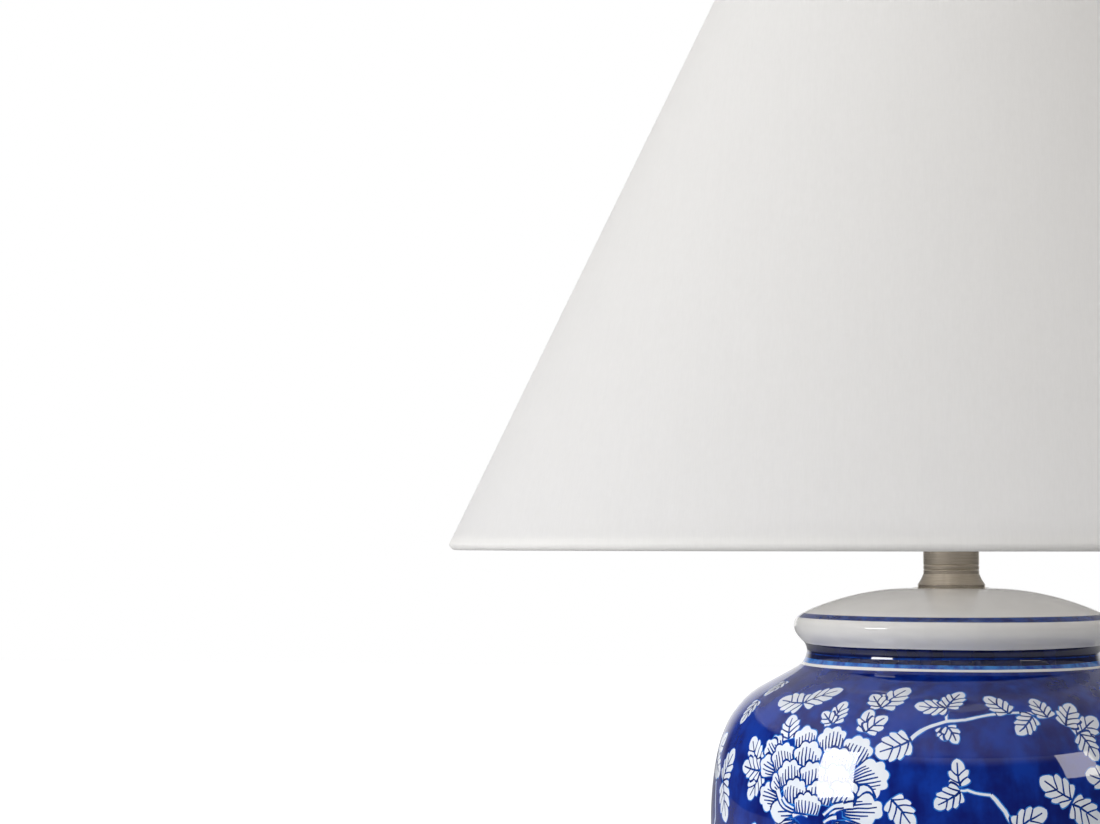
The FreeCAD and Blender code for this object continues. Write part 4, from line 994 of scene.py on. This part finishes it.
points, cut_map, bake_map, cloth_faces, sides = [], [], [], [], []
count = len(section)
for angle in cloth_angles:
    turn = radians(angle)
    for number, point in enumerate(section):
        outer = number < len(outside)
        step = number if outer else count - 1 - number
        on_wall = outer and HEM_STEPS <= step <= HEM_STEPS + WALL_STEPS
        points.append(round_axis(point.x + (lapped(angle) if on_wall else 0), point.y, turn) * MM)
        slant = (low_slant + lengths[HEM_STEPS] - lengths[step]) * MM
        cut_map.append((slant * sin(turn * cone), -slant * cos(turn * cone)))
        bake_map.append(((angle + 180) / 360, number / count))
for column in range(len(cloth_angles) - 1):
    here, there = column * count, (column + 1) * count
    for number in range(count):
        after = (number + 1) % count
        cloth_faces.append((here + number, there + number, there + after, here + after))
        sides.append(0 if number < len(outside) - 1 else 1)
cloth = made_piece("shade_cloth", points, cloth_faces, sides, (linen, linen_back),
                   {"cut": cut_map, "OFBake": bake_map})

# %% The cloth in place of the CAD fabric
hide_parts("shade_fabric")
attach(cloth, "shade")

# %% [markdown]
# ## The bulb's rolled thread
# A bulb's cap is thin metal rolled into a coarse round thread: its radius goes up and down once for
# each turn and each pitch of height. Geometry Nodes say just that: a grid is bent into a tube, each
# point's radius follows its angle and height, and the thread fades at both ends.


# %% A recipe for a rolled thread
class Recipe(Tree):
    """A Geometry Nodes tree with named sizes, which makes a plain mesh."""

    def __init__(self, name, sizes):
        super().__init__(bpy.data.node_groups.new(name, "GeometryNodeTree"))
        self.nodes.interface.new_socket("Mesh", in_out="OUTPUT", socket_type="NodeSocketGeometry")
        self.identifiers = {}
        for size in sizes:
            item = self.nodes.interface.new_socket(size, in_out="INPUT", socket_type="NodeSocketFloat")
            self.identifiers[size] = item.identifier
        self.given = self.nodes.nodes.new("NodeGroupInput")

    def size(self, name):
        return Wave(self, self.given.outputs[name])

    def finish(self, mesh, finish):
        mesh = self.add("GeometryNodeRealizeInstances", {}, [mesh])
        mesh = self.add("GeometryNodeSetMaterial", {}, {"Geometry": mesh, "Material": finish.material})
        out = self.nodes.nodes.new("NodeGroupOutput")
        self.nodes.links.new(mesh.socket, out.inputs[0])

    def make(self, name, **sizes):
        """A piece made by the tree with these sizes, in metres, as a plain mesh."""
        holder = in_scene(name + "_holder", bpy.data.meshes.new(name + "_holder"))
        step = holder.modifiers.new("recipe", "NODES")
        step.node_group = self.nodes
        for size, value in sizes.items():
            step[self.identifiers[size.replace("_", " ")]] = value
        graph = bpy.context.evaluated_depsgraph_get()
        mesh = bpy.data.meshes.new_from_object(holder.evaluated_get(graph))
        mesh.name = name
        holder.modifiers.remove(step)
        bpy.data.objects.remove(holder)
        print(name, len(mesh.vertices), "points", len(mesh.polygons), "faces")
        return in_scene(name, mesh)


# Metres from either end of the cap in which the thread comes in.
THREAD_FADE = (0.0012, 0.0035)
thread = Recipe("rolled_thread", ("Radius", "Wall", "Depth", "Pitch", "Low", "Height"))
grid = thread.add("GeometryNodeMeshGrid", {},
                  {"Size X": 1, "Size Y": 1, "Vertices X": 97, "Vertices Y": 181})
flat_place = thread.add("GeometryNodeInputPosition")
turns = thread.part(flat_place, 0)
round_section = thread.part(flat_place, 1) + 0.5
climb = 1.03 - 1.04 * (round_section * 2 - 1).math("ABSOLUTE", round_section * 2 - 1)
climb = climb.math("MAXIMUM", climb.math("MINIMUM", climb, 1), 0) * thread.size("Height")
inner = round_section.between(0.5, 0.506) - round_section.between(0.994, 1)
phase = (climb / thread.size("Pitch") - turns) * (2 * pi)
fade = climb.between(*THREAD_FADE) * (thread.size("Height") - climb).between(*THREAD_FADE)
groove = (0.5 - 0.5 * phase.math("COSINE", phase)) * fade * thread.size("Depth")
radius = thread.size("Radius") - groove - inner * thread.size("Wall")
angle = turns * (2 * pi)
bent = thread.add("ShaderNodeCombineXYZ", {}, [radius * angle.math("COSINE", angle),
                                               radius * angle.math("SINE", angle),
                                               climb + thread.size("Low")])
tube = thread.add("GeometryNodeSetPosition", {}, {"Geometry": grid, "Position": bent})
tube = thread.add("GeometryNodeMergeByDistance", {}, {"Geometry": tube, "Distance": 1e-6})
tube = thread.add("GeometryNodeSetShadeSmooth", {}, {"Geometry": tube})
thread.finish(tube, rolled)

# %% The cap in place of its plain tube
low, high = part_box("bulb_base")
cap = thread.make("bulb_cap_thread", Radius=high.x, Wall=0.0005, Depth=0.0009, Pitch=0.00363,
                  Low=low.z, Height=high.z - low.z)
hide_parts("bulb_base")
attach(cap, "bulb")

# %% [markdown]
# ## Finishes on the solids
# Every solid that stays gets the finish of its material slot. Its object keeps its place and its mesh.

# %% Dress the solids
FINISHES = {"felt": felt, "glaze": bisque, "rubber": rubber, "zinc_steel": zinc, "brushed_nickel": nickel,
            "insulating_paper": fibre_paper, "phenolic": phenolic, "brass": brass, "solder": solder,
            "base_glass": black_glass, "bulb_cap": rolled, "opal_glass": opal, "shade_linen": linen,
            "shade_liner": styrene, "white_wire": epoxy}
for subpart in frame["record"]["subparts"]:
    solid = frame["nodes"][subpart["node"]]
    solid.data.materials.clear()
    solid.data.materials.append(FINISHES[subpart["material_slot"]].material)
